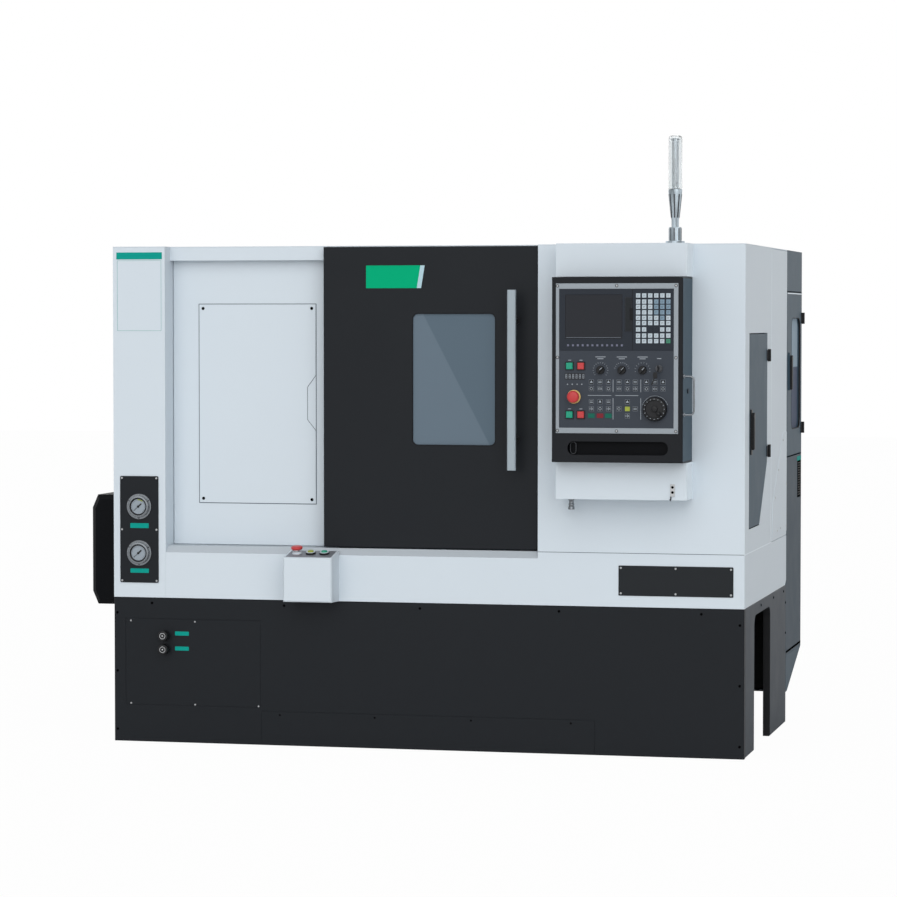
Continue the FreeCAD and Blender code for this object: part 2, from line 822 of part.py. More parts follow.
def splash_guard():
    """Sheet walls of the work area: a left wall round the spindle nose and a wall at the back."""
    left, right, thick = d.headstock_right + 4, 2090, d.sheet
    front, back, shelf, fold = 132, 900, 505, 30
    clear = SADDLE_WAY_RISE + 10
    low = on_slant(FACE_LOW, clear)
    high = on_slant(FACE_HIGH, clear)
    top = d.overall_height - 20
    outline = [
        (front, shelf),
        (low[0], shelf),
        low,
        high,
        (back, high[1]),
        (back, top),
        (front, top),
    ]
    wall = prism("X", outline, (left, left + thick))
    nose = rod("X", (0, 1000), (d.spindle_depth, d.spindle_height), d.nose_radius + 20)
    rear = block((left, right), (back, back + thick), (high[1], top))
    folded = (back - fold, back + thick)
    foot = block((left, d.bed_right), folded, (high[1], high[1] + thick))
    gutter = block((left, d.bed_right), (back - fold, back - fold + 2), (high[1] - 26, high[1] + 1))
    top_fold = block((left, right), folded, (top - thick, top))
    finish("splash_guard", fuse(cut(wall, nose), rear, foot, gutter, top_fold))


# ---------------------------------------------------------------- base covers
SEAM_WIDTH = 3
KNOB_X, KNOB_HEIGHTS, KNOB_STEM = 186, (374, 327), 6


def front_seam(x, z):
    """A shallow line in the front skirt, where two of its sheets meet."""
    return block(x, (-1, d.sheet * 0.6), z)


def base_front_cover():
    """Front skirt: one long cover with the lines of its lower strip and its service hatch."""
    body = pan("Y", rectangle((0, d.front_width), (d.floor_gap, d.apron_bottom)), 0, d.fold)
    left, right = d.hatch_left, d.hatch_right
    low, high = d.hatch_bottom, d.hatch_top
    strip_top, strip_end = d.low_seam, d.low_strip_end
    lines = [
        front_seam((left, right), (high - SEAM_WIDTH, high)),
        front_seam((left, right), (low, low + SEAM_WIDTH)),
        front_seam((left, left + SEAM_WIDTH), (low, high)),
        front_seam((right - SEAM_WIDTH, right), (low, high)),
        front_seam((right, strip_end), (strip_top - SEAM_WIDTH, strip_top)),
        front_seam((right, right + SEAM_WIDTH), (d.floor_gap, strip_top)),
        front_seam((strip_end - SEAM_WIDTH, strip_end), (d.floor_gap, strip_top)),
    ]
    knob_holes = [
        faceted("Y", (-1, 3), (KNOB_X, z), KNOB_STEM + 0.5, 12) for z in KNOB_HEIGHTS
    ]
    finish("base_front_cover", cut(body, *lines, *knob_holes))


def pressure_knobs():
    """Knobs of the two pressure valves, each many-sided to hold and on a round stem."""
    for name, z in zip(("upper_pressure_knob", "lower_pressure_knob"), KNOB_HEIGHTS):
        at = (KNOB_X, z)
        grip = faceted("Y", (-34, -1), at, 18, 16, 3)
        stem = faceted("Y", (-2, 20), at, KNOB_STEM, 12)
        finish(name, fuse(grip, stem))


def base_right_cover():
    """Right skirt with the chip conveyor's mouth, open to the floor and folded inwards."""
    front, rear, top = d.mouth_front, d.mouth_rear, d.mouth_top
    outline = [
        (d.fold, d.floor_gap),
        (front, d.floor_gap),
        (front, top),
        (rear, top),
        (rear, d.floor_gap),
        (d.body_depth, d.floor_gap),
        (d.body_depth, d.apron_bottom),
        (d.fold, d.apron_bottom),
    ]
    body = prism("X", outline, (d.front_width, d.front_width - d.fold))

    def in_mouth(edge):
        p = edge.CenterOfMass
        return front.value - 1 < p.y < rear.value + 1 and p.z < top.value + 1

    def mouth_corner(edge):
        return along_axis(edge, "X") and in_mouth(edge) and edge.CenterOfMass.z > top.value - 1

    skin = on_face("X", d.front_width.value)
    soften(body, d.mouth_radius, mouth_corner)
    soften(body, d.bend, lambda edge: skin(edge) and not in_mouth(edge), "Chamfer")
    finish("base_right_cover", hollow(body, "X", d.front_width - d.fold, d.sheet))


def base_left_cover():
    outline = rectangle((d.fold, d.body_depth), (d.floor_gap, d.apron_bottom))
    finish("base_left_cover", pan("X", outline, 0, d.fold))


# ---------------------------------------------------------------- enclosure
WALL_TOP = d.overall_height - d.roof_sheet
# Where the sliding door's bay ends, and how deep the rail behind the door's top stands.
DOOR_END, RAIL_FACE = 1500, 58


def left_cover():
    """Left column, its return towards the recess and the left side, folded from one sheet."""
    t = d.sheet
    plan = [
        (0, 0),
        (d.column_width, 0),
        (d.column_width, d.column_depth),
        (d.column_width - t, d.column_depth),
        (d.column_width - t, t),
        (t, t),
        (t, d.body_depth - t),
        (d.fold, d.body_depth - t),
        (d.fold, d.body_depth),
        (0, d.body_depth),
    ]
    sheet = prism("Z", plan, (d.apron_bottom, WALL_TOP))
    hole = block((-1, 5), (210, 450), (525, 785))
    low_fold = block((t, d.column_width - t), (t, d.fold), (d.apron_bottom, d.apron_bottom + t))
    finish("left_cover", fuse(cut(sheet, hole), low_fold))


def apron_cover():
    """Lower white cover: front and right side in one fold, notched on top for the door sill."""
    t = d.sheet
    plan = [
        (d.column_width, 0),
        (d.front_width, 0),
        (d.front_width, d.body_depth),
        (d.front_width - d.fold, d.body_depth),
        (d.front_width - d.fold, d.body_depth - t),
        (d.front_width - t, d.body_depth - t),
        (d.front_width - t, t),
        (d.column_width, t),
    ]
    low, high = d.apron_bottom, d.seam_height
    sheet = prism("Z", plan, (low, high))
    notch = block((0, DOOR_END), (-1, t + 1), (high - d.sill_drop, high + 1))
    corner = prism(
        "X",
        [
            (d.body_depth - 24, low - 1),
            (d.body_depth + 1, low - 1),
            (d.body_depth + 1, low + 18),
        ],
        (d.front_width - d.fold - 1, d.front_width + 1),
    )
    inner, right = d.front_width - d.fold, d.front_width - t
    folds = [
        block((d.column_width, right), (t, d.fold), (low, low + t)),
        block((DOOR_END, right), (t, d.fold), (high - t, high)),
        block((inner, right), (d.fold, d.body_depth - 30), (high - t, high)),
    ]
    finish("apron_cover", fuse(cut(sheet, notch, corner), *folds))


def door_rails():
    """Door sill that slopes down to the apron, and the rail behind the door's top edge."""
    top = d.seam_height
    lip = top - d.sill_drop
    thick = 3
    outline = [
        (0, lip),
        (d.door_face, top),
        (d.recess, top),
        (d.recess, top - thick),
        (d.door_face + 1, top - thick),
        (2, lip - 2),
        (0, lip - 2),
    ]
    bay = (d.column_width, DOOR_END)
    sill = prism("X", outline, bay)
    clearing = block(bay, (-1, 2.01), (lip - 5, lip))
    face, back, rail_bottom, wall = RAIL_FACE, d.recess, 1668, 3
    rail = block(bay, (face, back), (rail_bottom, WALL_TOP))
    groove = block(bay, (face + wall, back - wall), (rail_bottom - 1, WALL_TOP - wall - 1))
    finish("door_rails", group(cut(sill, clearing), cut(rail, groove)))


def headstock_cover():
    """Recessed front wall with its service panel and a finger notch."""
    right = d.door_left + 18
    outline = rectangle((d.column_width, right), (d.seam_height, WALL_TOP))
    wall = pan("Y", outline, d.recess, d.recess + d.fold)
    proud = d.recess - d.sheet
    panel_x, panel_z = (d.panel_left, d.panel_right), (d.panel_bottom, d.panel_top)
    panel = prism("Y", rectangle(panel_x, panel_z), (proud, d.recess))
    notch = prism(
        "Y",
        [(704, 1276), (672, 1233), (672, 1120), (704, 1080)],
        (proud - 1, d.recess),
    )
    finish("headstock_cover", fuse(wall, cut(panel, notch)))


def box_shell(x, y, z, wall):
    """An empty box that is open at the back."""
    outer = block(x, y, z)
    inner = block(
        (x[0] + wall, x[1] - wall), (y[0] + wall, y[1] + 1), (z[0] + wall, z[1] - wall)
    )
    return cut(outer, inner)


def side_door_outline(gap):
    """The side door's five-cornered outline, grown by a gap."""
    front, rear = d.side_door_front - gap, d.side_door_rear + gap
    low, high = d.side_door_bottom - gap, d.side_door_top + gap
    slant_start, slant_end = 350 + gap * 0.4, 970 - gap * 0.4
    return [(front, low), (slant_start, low), (rear, slant_end), (rear, high), (front, high)]


SIDE_HINGES = (988, 1320)
CABINET_HINGES = (1041, 1449)
HINGE_HEIGHT, LOCK_PIN = 42, 7
HINGE_AXIS_X = d.front_width + d.hinge_reach
SIDE_HINGE_Y = 552


def right_front_cover():
    """Right front wall and side wall in one fold, with the console's pod and the side opening."""
    t, fold = d.sheet, d.fold
    left, right, rear = DOOR_END, d.front_width, d.side_seam
    plan = [
        (left, 0),
        (right, 0),
        (right, rear),
        (right - fold, rear),
        (right - fold, rear - t),
        (right - t, rear - t),
        (right - t, t),
        (left + t, t),
        (left + t, d.recess),
        (left, d.recess),
    ]
    sheet = prism("Z", plan, (d.seam_height, WALL_TOP))
    opening = prism("X", side_door_outline(2), (right - 5, right + 1))
    pod_x, pod_y = (d.pod_left, d.pod_right), (-d.pod_reach, Size(0))
    lower = box_shell(pod_x, pod_y, (d.pod_bottom, d.console_bottom - 2), size(3))
    upper = box_shell(pod_x, pod_y, (d.console_top + 2, d.overall_height), size(3))
    leaves = []
    for z in SIDE_HINGES:
        span = (z, z + HINGE_HEIGHT)
        leaves.append(block((right - 1, right + 4), (SIDE_HINGE_Y + 4, 607), span))
        leaves.append(faceted("Z", span, (HINGE_AXIS_X, SIDE_HINGE_Y), 5.5, 10))
    finish("right_front_cover", fuse(cut(sheet, opening), lower, upper, *leaves))


def right_rear_cover():
    """Rear part of the right side with the service plate that has a slanted edge."""
    outline = rectangle((d.side_seam, d.body_depth), (d.seam_height, WALL_TOP))
    wall = pan("X", outline, d.front_width, d.front_width - d.fold)
    plate = prism(
        "X",
        [(685, 700), (1056, 700), (1056, 1060), (960, 1060), (685, 820)],
        (d.front_width, d.front_width + 1.5),
    )
    finish("right_rear_cover", fuse(wall, plate))


def roof_cover():
    """Flat roof sheet, set back over the recess where the door runs."""
    plan = [
        (0, 0),
        (d.column_width, 0),
        (d.column_width, RAIL_FACE),
        (DOOR_END, RAIL_FACE),
        (DOOR_END, 0),
        (d.front_width, 0),
        (d.front_width, d.body_depth),
        (0, d.body_depth),
    ]
    finish("roof_cover", prism("Z", plan, (WALL_TOP, d.overall_height)))


def rear_cover():
    outline = rectangle((d.fold, d.front_width - d.fold), (d.rear_clearance, WALL_TOP))
    finish("rear_cover", pan("Y", outline, d.body_depth, d.body_depth - d.fold))


CABINET_HINGE_Y = d.full_depth


def electrical_cabinet():
    """Sheet cabinet on the back: tapered foot, side opening for its door, slots and a vent."""
    t, heel, heel_depth = d.sheet, 113, 34
    left, right = d.cabinet_left, d.front_width
    front, rear = d.body_depth, d.full_depth
    floor, top = d.cabinet_floor, d.overall_height
    profile = [
        (front, heel),
        (front + heel_depth, heel),
        (rear, floor - 8),
        (rear, top),
        (front, top),
    ]
    case = prism("X", profile, (left, right))
    room = block((left + t, right - t), (front + t, rear - t), (floor + t, top - t))
    foot = prism(
        "X",
        [
            (front + t, heel + t),
            (front + heel_depth - 1, heel + t),
            (rear - 12, floor - 8),
            (rear - t, floor - 2),
            (front + t, floor - 2),
        ],
        (left - 1, right - t),
    )
    opening = block(
        (right - 5, right + 1),
        (front + 4, rear - t - 2),
        (d.cabinet_door_bottom - t, d.cabinet_door_top + t),
    )
    slit_z, vent_y, vent_z = (244, 249), (1388, 1440), (811, 938)
    slit = block((right - 1, right + 1), (front + 6, rear - 3), slit_z)
    vent = block((right - 5, right + 1), vent_y, vent_z)
    knuckles = []
    for z in CABINET_HINGES:
        span = (z, z + HINGE_HEIGHT)
        knuckles.append(faceted("Z", span, (HINGE_AXIS_X, CABINET_HINGE_Y), 5.5, 10))
        knuckles.append(block((right - 1, right + 4), (rear - 1, rear + 5), span))
    body = cut(case, room, foot, opening, slit, vent)
    finish("electrical_cabinet", fuse(body, *knuckles))


def motor_cover():
    """Bevelled hood over the main motor's rear end, open towards the machine."""
    reach, edge, slope = d.motor_cover_reach, 20, 46
    low, high = 461, 848
    outline = [
        (0, low),
        (edge - reach, low),
        (-reach, low + slope),
        (-reach, high - slope),
        (edge - reach, high),
        (0, high),
    ]
    front, rear = 180, 480
    body = prism("Y", outline, (front, rear))

    def end_edge(edge):
        on_an_end = on_face("Y", front)(edge) or on_face("Y", rear)(edge)
        return on_an_end and edge.CenterOfMass.x < -1

    soften(body, 16, end_edge, "Chamfer")
    finish("motor_cover", hollow(body, "X", 0, d.sheet))


# ---------------------------------------------------------------- sliding door
POST_HEIGHTS = (1062, 1462)


def sliding_door():
    """Folded door skin round the window, two hangers at the rail and two shoes on the sill."""
    bottom = d.seam_height + 3
    outline = rectangle((d.door_left, d.door_right), (bottom, d.door_top))
    hole = rectangle((d.window_left, d.window_right), (d.window_bottom, d.window_top))
    back = d.door_face + d.door_depth
    skin = pan("Y", outline, d.door_face, back, [hole], d.window_radius)
    hanger_width, hanger_low, shoe_width = 70, 1686, 50
    hangers = [
        block(
            (x, x + hanger_width),
            (back - 8, RAIL_FACE - d.slide_fit),
            (hanger_low, d.door_top - 1),
        )
        for x in (800, 1360)
    ]
    shoes = [
        block((x, x + shoe_width), (back - 14, back - 2), (d.seam_height + d.slide_fit, bottom + 1))
        for x in (800, 1380)
    ]
    finish("sliding_door", fuse(skin, *hangers, *shoes))


def door_window():
    outline = rectangle((d.window_left, d.window_right), (d.window_bottom, d.window_top))
    pane = prism("Y", outline, (d.door_face + 5, d.door_face + 11))
    finish("door_window", soften(pane, d.window_radius, lambda edge: along_axis(edge, "Y")))


def door_handle():
    """Flat grip bar on two stand-offs, each with a rose where it meets the door."""
    x = (d.grip_left, d.grip_left + d.grip_width)
    face = d.door_face - d.grip_reach
    bar = prism("Y", rectangle(x, (d.grip_bottom, d.grip_top)), (face, face + 12))
    soften(bar, 3, lambda edge: along_axis(edge, "Z"), "Chamfer")
    middle = d.grip_left + d.grip_width / 2
    posts = [faceted("Y", (face + 11, d.door_face), (middle, z), 9, 12) for z in POST_HEIGHTS]
    roses = [
        faceted("Y", (d.door_face - 4, d.door_face), (middle, z), 15) for z in POST_HEIGHTS
    ]
    finish("door_handle", fuse(bar, *posts, *roses))


# ---------------------------------------------------------------- side doors
def hinge_leaf(root, tip, z):
    """The leaf of a hinge: screwed to a door at its root, free where it reaches the knuckle."""
    span = (z + 3, z + HINGE_HEIGHT - 3)
    face = d.front_width
    plate = block((face - 1, face + 3), (root, root + 12), span)
    reach = block((face + 0.5, face + 3), (root, tip), span)
    return fuse(plate, reach)


def lock_plate(y, z):
    return block((d.front_width - 1, d.front_width + 5), y, z)


def side_door():
    """Service door with a slanted lower corner, two hinge leaves and a lock plate."""
    back = d.front_width - d.side_door_depth
    body = prism("X", side_door_outline(0), (d.front_width, back))
    soften(body, d.bend, on_face("X", d.front_width.value), "Chamfer")
    hollow(body, "X", back, d.sheet)
    leaves = [hinge_leaf(524, SIDE_HINGE_Y - 6.5, z) for z in SIDE_HINGES]
    plate = lock_plate((119, 149), (1012, 1163))
    bore = rod("X", (d.front_width - 8, d.front_width + 8), (134, 1140), LOCK_PIN + d.slide_fit)
    finish("side_door", cut(fuse(body, *leaves, plate), bore))


def lock_lever(name, y, z_top):
    """Swing handle: a boss on the lock's pin and a tapered grip hanging from it."""
    out = d.front_width + 5 + d.slide_fit
    thick, reach, wide, narrow = 9, 112, 12, 8
    pin = faceted("X", (d.front_width - 6, out + 1), (y, z_top), LOCK_PIN, 12)
    boss = faceted("X", (out, out + thick), (y, z_top), 13, 16)
    low = z_top - reach
    grip = prism(
        "X",
        [(y - wide, z_top), (y + wide, z_top), (y + narrow, low), (y - narrow, low)],
        (out, out + thick),
    )
    soften(grip, 3, on_face("X", (out + thick).value), "Chamfer")
    finish(name, fuse(pin, boss, grip))


def cabinet_door():
    """Cabinet door with a deep-set window frame, hinge leaves and a lock plate."""
    y = (d.body_depth + 6, d.full_depth - 6)
    z = (d.cabinet_door_bottom, d.cabinet_door_top)
    back = d.front_width - d.side_door_depth
    skin = pan("X", rectangle(y, z), d.front_width, back)
    well_y, well_z, rim = (1190, 1440), (1065, 1469), 6
    frame_y = (well_y[0] - rim, well_y[1] + rim)
    frame_z = (well_z[0] - rim, well_z[1] + rim)
    frame = block((back + 2, d.front_width - 1), frame_y, frame_z)
    well = prism("X", rectangle(well_y, well_z), (d.front_width - 10, d.front_width + 1))
    soften(well, 40, lambda edge: along_axis(edge, "X"))
    leaves = [hinge_leaf(1462, d.full_depth - 6.5, z_low) for z_low in CABINET_HINGES]
    plate = lock_plate((1104, 1134), (1208, 1345))
    bore = rod("X", (d.front_width - 8, d.front_width + 8), (1119, 1322), LOCK_PIN + d.slide_fit)
    finish("cabinet_door", cut(fuse(skin, frame, *leaves, plate), well, bore))


# ---------------------------------------------------------------- front fittings
def gauge_panel():
    """Plate with two flanged pressure gauges."""
    plate = block((24, 163), (-3, 0), (555, 924))
    pieces, dials = [plate], []
    for height in (819, 658):
        at = (93.5, height)
        pieces.append(faceted("Y", (-7, -3), at, 44, 18))
        pieces.append(faceted("Y", (-18, -7), at, 36, 18))
        dials.append(faceted("Y", (-19, -13), at, 29.5, 18))
    finish("gauge_panel", cut(fuse(*pieces), *dials))


START_TOP, START_LINE, START_HOLE = 657, 52, 11.5
START_BUTTONS = {"start_box_stop": 674, "start_box_reset": 722, "start_box_start": 770}


def on_start_box(along):
    """Depth and height of a point on the start box's sloping top, from its front edge."""
    slope = math.radians(d.start_box_slope.value)
    depth = along * math.cos(slope) - d.start_box_reach
    return depth, START_TOP + along * math.sin(slope)


def start_box():
    """Small box on the apron whose sloping top carries three buttons in raised collars."""
    reach, wall, low = d.start_box_reach, 3, 504
    lean = math.tan(math.radians(d.start_box_slope.value))
    left, right = d.start_box_left, d.start_box_right
    back_top = START_TOP + reach.value * lean
    side = [(-reach, low + 3), (0, low), (0, back_top), (-reach, START_TOP)]
    body = prism("X", side, (left, right))
    soften(body, 4, on_face("Y", -reach.value), "Chamfer")
    room = prism(
        "X",
        [
            (wall - reach, low + 3 + wall),
            (1, low + wall),
            (1, back_top + lean - wall),
            (wall - reach, START_TOP + wall * lean - wall),
        ],
        (left + wall, right - wall),
    )
    slope = FreeCAD.Rotation(DIRECTIONS["X"], d.start_box_slope.value)
    depth, height = on_start_box(START_LINE)
    places = START_BUTTONS.values()

    def row_of(make):
        row = group(*[make(x) for x in places])
        row.Placement.Rotation = slope
        return move(row, 0, depth, height)

    def collar(x):
        hole = faceted("Z", (-2, 10), (x, 0), START_HOLE)
        return cut(faceted("Z", (-1, 9), (x, 0), 15.5), hole)

    holes = row_of(lambda x: faceted("Z", (-9, 10), (x, 0), START_HOLE))
    finish("start_box", fuse(cut(body, room, holes), row_of(collar)))


def start_box_buttons():
    """Mushroom stop and two round push buttons that travel square to the sloping top."""
    depth, height = on_start_box(START_LINE)
    stem = START_HOLE - 0.5
    for name, x in START_BUTTONS.items():
        if name == "start_box_stop":
            foot = faceted("Z", (-16, 8), (0, 0), stem)
            neck = faceted("Z", (7, 20), (0, 0), 9, 12)
            cap = faceted("Z", (19, 31), (0, 0), 20, 20, 6, False)
            button = fuse(foot, neck, cap)
        else:
            button = faceted("Z", (-16, 14), (0, 0), stem, 16, 2.5, False)
        finish(name, button, (x, depth, height), "X", d.start_box_slope)


def tower_lamp():
    """Signal lamp stack: foot, post, flared body and a tube with a bevelled cap."""
    at = (0, 0)
    foot_top, post_top, neck_top, tube_base = 5, 56, 80, 172
    foot, post, neck, tube = 32, 21, 12.5, 23
    pieces = [
        faceted("Z", (0, foot_top), at, foot),
        faceted("Z", (foot_top - 1, post_top), at, post),
        faceted("Z", (post_top - 1, neck_top + 1), at, neck),
        faceted_taper("Z", (neck_top, tube_base), at, neck, tube),
        faceted("Z", (tube_base - 1, d.lamp_height), at, tube, 16, 7, False),
    ]
    finish("tower_lamp", fuse(*pieces), (d.lamp_centre, 40, d.overall_height))


# ---------------------------------------------------------------- console
FRONT = -d.console_reach
PANEL_FACE = FRONT - 1
PANEL_BACK = FRONT + 18
UNIT_X = (d.units_left, d.units_right)


def console_box():
    """Sheet box with a window for the two control units and a long pocket under them."""
    x, z = (d.console_left, d.console_right), (d.console_bottom, d.console_top)
    rear, t = Size(-1), d.sheet
    body = prism("Y", rectangle(x, z), (FRONT, rear))
    soften(body, 5, lambda edge: along_axis(edge, "Y"), "Chamfer")
    soften(body, d.bend, on_face("Y", FRONT.value), "Chamfer")
    inside = block((x[0] + t, x[1] - t), (FRONT + t, rear - t), (z[0] + t, z[1] - t))
    window = block(UNIT_X, (FRONT - 1, FRONT + t + 1), (d.units_bottom, d.units_top))
    pocket_x, pocket_z, deep = (1640, 1974), (1020, 1064), 26
    case = block(
        (pocket_x[0] - t, pocket_x[1] + t),
        (FRONT + 1, FRONT + deep + t),
        (pocket_z[0] - t, pocket_z[1] + t),
    )
    well = prism("Y", rectangle(pocket_x, pocket_z), (FRONT - 1, FRONT + deep))
    soften(well, 20, lambda edge: along_axis(edge, "Y"))
    lock = faceted("X", (x[1], x[1] + 3), (-98, 1229), 8)
    shell = cut(body, inside, window)
    finish("console_box", fuse(cut(fuse(shell, case), well), lock))


def console_bezel():
    """Flat aluminium frame round the two control units."""
    outline = rectangle((d.bezel_left, d.bezel_right), (d.bezel_bottom, d.bezel_top))
    hole = rectangle(UNIT_X, (d.units_bottom, d.units_top))
    finish("console_bezel", prism("Y", outline, (FRONT - 3, FRONT), [hole]))


def data_key(x, z):
    half, proud = 7, 2
    return block((x - half, x + half), (PANEL_FACE - proud, PANEL_FACE + 0.5), (z - half, z + half))


def display_unit():
    """Screen and keypad unit: sunk screen, card cover and the grid of data keys."""
    body = block(UNIT_X, (PANEL_FACE, PANEL_BACK), (d.units_split, d.units_top))
    screen = block((1632, 1822), (PANEL_FACE - 1, PANEL_FACE + 2), (1402, 1546))
    card_cover = block((1832, 1854), (PANEL_FACE - 2, PANEL_FACE + 1), (1426, 1537))
    first, pitch = 1875, 20
    columns = [first + pitch * i for i in range(6)]
    rows = [1543, 1523, 1506, 1488, 1470, 1453, 1432, 1412, 1394]
    keys = [data_key(x, z) for x in columns for z in rows]
    finish("display_unit", cut(fuse(body, card_cover, *keys), screen))


SELECTORS = {"feed_selector": 1750, "rapid_selector": 1821, "spindle_selector": 1890}
SQUARE_BUTTONS = {
    "power_on_button": (1647, 1312),
    "power_off_button": (1685, 1312),
    "cycle_start_button": (1647, 1152),
    "feed_hold_button": (1685, 1152),
}
SELECTOR_Z, KEY_SPOT, WHEEL_SPOT, STOP_SPOT = 1299, (1945, 1304), (1932, 1172), (1662, 1211)
SQUARE_HALF, STOP_STEM, POST = 11, 11, 5


def switch_panel():
    """Machine control panel: holes for the switches and raised frames round them."""
    body = block(UNIT_X, (PANEL_FACE, PANEL_BACK), (d.units_bottom, d.units_split))
    through = (PANEL_FACE - 6, PANEL_BACK + 1)
    clear = d.slide_fit
    half = SQUARE_HALF + clear
    frames, wells = [], []
    for x, z in SQUARE_BUTTONS.values():
        frames.append(
            block((x - 14, x + 14), (PANEL_FACE - 3, PANEL_FACE + 1), (z - 14, z + 14))
        )
        wells.append(block((x - half, x + half), through, (z - half, z + half)))
    posts = [(x, SELECTOR_Z) for x in SELECTORS.values()] + [KEY_SPOT, WHEEL_SPOT]
    wells += [faceted("Y", through, spot, POST + 0.8, 8) for spot in posts]
    wells.append(faceted("Y", through, STOP_SPOT, STOP_STEM + 0.5))
    frames.append(faceted("Y", (PANEL_FACE - 4, PANEL_FACE + 1), STOP_SPOT, 17))
    frames.append(faceted("Y", (PANEL_FACE - 5, PANEL_FACE + 1), KEY_SPOT, 12))
    finish("switch_panel", cut(fuse(body, *frames), *wells))


def console_handle():
    """U-shaped bar grip on the console's right side."""
    face, out, thick = d.console_right, 57, 10
    low, high, y = 1155, 1283, FRONT + 15
    outline = [
        (face, low),
        (face + out, low),
        (face + out, high),
        (face, high),
        (face, high - thick),
        (face + out - thick, high - thick),
        (face + out - thick, low + thick),
        (face, low + thick),
    ]
    front, back = y - thick / 2, y + thick / 2
    grip = prism("Y", outline, (front, back))

    def long_edge(edge):
        flat = on_face("Y", front.value)(edge) or on_face("Y", back.value)(edge)
        return flat and edge.CenterOfMass.x > face.value + 1

    soften(grip, 2.5, long_edge, "Chamfer")
    finish("console_handle", grip)


def square_buttons():
    """Four square push buttons that travel straight into the switch panel."""
    outer = PANEL_FACE - 8
    half = SQUARE_HALF
    for name, (x, z) in SQUARE_BUTTONS.items():
        outline = rectangle((x - half, x + half), (z - half, z + half))
        cap = prism("Y", outline, (outer, PANEL_BACK - 6))
        finish(name, soften(cap, 1.5, on_face("Y", outer.value), "Chamfer"))


def console_stop():
    """Mushroom stop button of the console."""
    stem = faceted("Y", (PANEL_FACE - 12, PANEL_BACK - 4), STOP_SPOT, STOP_STEM)
    cap = faceted("Y", (PANEL_FACE - 30, PANEL_FACE - 11), STOP_SPOT, 20, 20, 6)
    finish("console_stop", fuse(stem, cap))


def selectors():
    """Rotary switches: round skirt, pointer bar and post."""
    out = PANEL_FACE - 0.5
    for name, x in SELECTORS.items():
        at = (x, SELECTOR_Z)
        skirt = faceted("Y", (out - 7, out), at, 14, 16, 1.5)
        bar = block((x - 4, x + 4), (out - 18, out - 6), (SELECTOR_Z - 13, SELECTOR_Z + 13))
        post = faceted("Y", (out - 1, PANEL_BACK - 2), at, POST, 8)
        finish(name, fuse(skirt, bar, post))


def key_switch():
    """Key in its lock barrel, with a second key hanging from it."""
    x, z = KEY_SPOT
    out = PANEL_FACE - 5.5
    plug = faceted("Y", (out - 4, out), KEY_SPOT, 9)
    post = faceted("Y", (out - 1, PANEL_BACK - 2), KEY_SPOT, POST, 8)
    bow = prism(
        "X",
        [
            (out - 4, z - 5),
            (out - 16, z - 11),
            (out - 30, z - 11),
            (out - 30, z + 11),
            (out - 16, z + 11),
            (out - 4, z + 5),
        ],
        (x - 1.5, x + 1.5),
    )
    spare = block((x - 10, x + 6), (out - 27, out - 25), (z - 52, z - 8))
    finish("key_switch", fuse(plug, post, bow, spare))


def handwheel():
    """Pulse handwheel: dial with a raised rim, a hub and a finger knob."""
    out = PANEL_FACE - 1
    x, z = WHEEL_SPOT
    dial = faceted("Y", (out - 20, out), WHEEL_SPOT, 40, 24, 3)
    dish = faceted("Y", (out - 21, out - 15), WHEEL_SPOT, 29, 20)
    hub = faceted("Y", (out - 22, out - 14), WHEEL_SPOT, 10, 8)
    post = faceted("Y", (out - 1, PANEL_BACK - 2), WHEEL_SPOT, POST, 8)
    knob = faceted("Y", (out - 38, out - 14), (x + 15, z - 15), 6.5, 12)
    finish("handwheel", fuse(cut(dial, dish), hub, post, knob))


def machine_inside():
    bed_casting()
    levelling_feet()
    headstock()
    spindle()
    chuck()
    chuck_jaws()
    spindle_motor()
    motor_pulley()
    drive_belt()
    saddle()
    turret_housing()
    turret_disc()
    tailstock()
    quill()
    splash_guard()


def enclosure():
    base_front_cover()
    base_right_cover()
    base_left_cover()
    left_cover()
    apron_cover()
    door_rails()
    headstock_cover()
    right_front_cover()
    right_rear_cover()
    roof_cover()
    rear_cover()
    electrical_cabinet()
    motor_cover()
    sliding_door()
    door_window()
    door_handle()
    side_door()
    lock_lever("side_door_lever", 134, 1140)
    cabinet_door()
    lock_lever("cabinet_door_lever", 1119, 1322)


def fittings():
    pressure_knobs()
    gauge_panel()
    start_box()
    start_box_buttons()
    tower_lamp()
    console_box()
    console_bezel()
    display_unit()
    switch_panel()
    console_handle()
    square_buttons()
    console_stop()
    selectors()
    key_switch()
    handwheel()


def export():
    """Checks every object and every piece, then writes one file for each piece."""
    doc.recompute()
    failed = [o.Name for o in doc.Objects if {"Invalid", "Error"} & set(o.State)]
    if failed:
        raise RuntimeError("failed objects: %s" % failed)
    for name, obj in NODES.items():
        if obj.Shape.isNull() or not obj.Shape.isValid():
            raise RuntimeError("bad shape: %s" % name)
    os.makedirs("parts", exist_ok=True)
    for name, obj in NODES.items():
        obj.Shape.exportStep("parts/%s.step" % name)
    print("%d pieces written" % len(NODES))


machine_inside()
enclosure()
fittings()
export()
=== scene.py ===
import json
import math

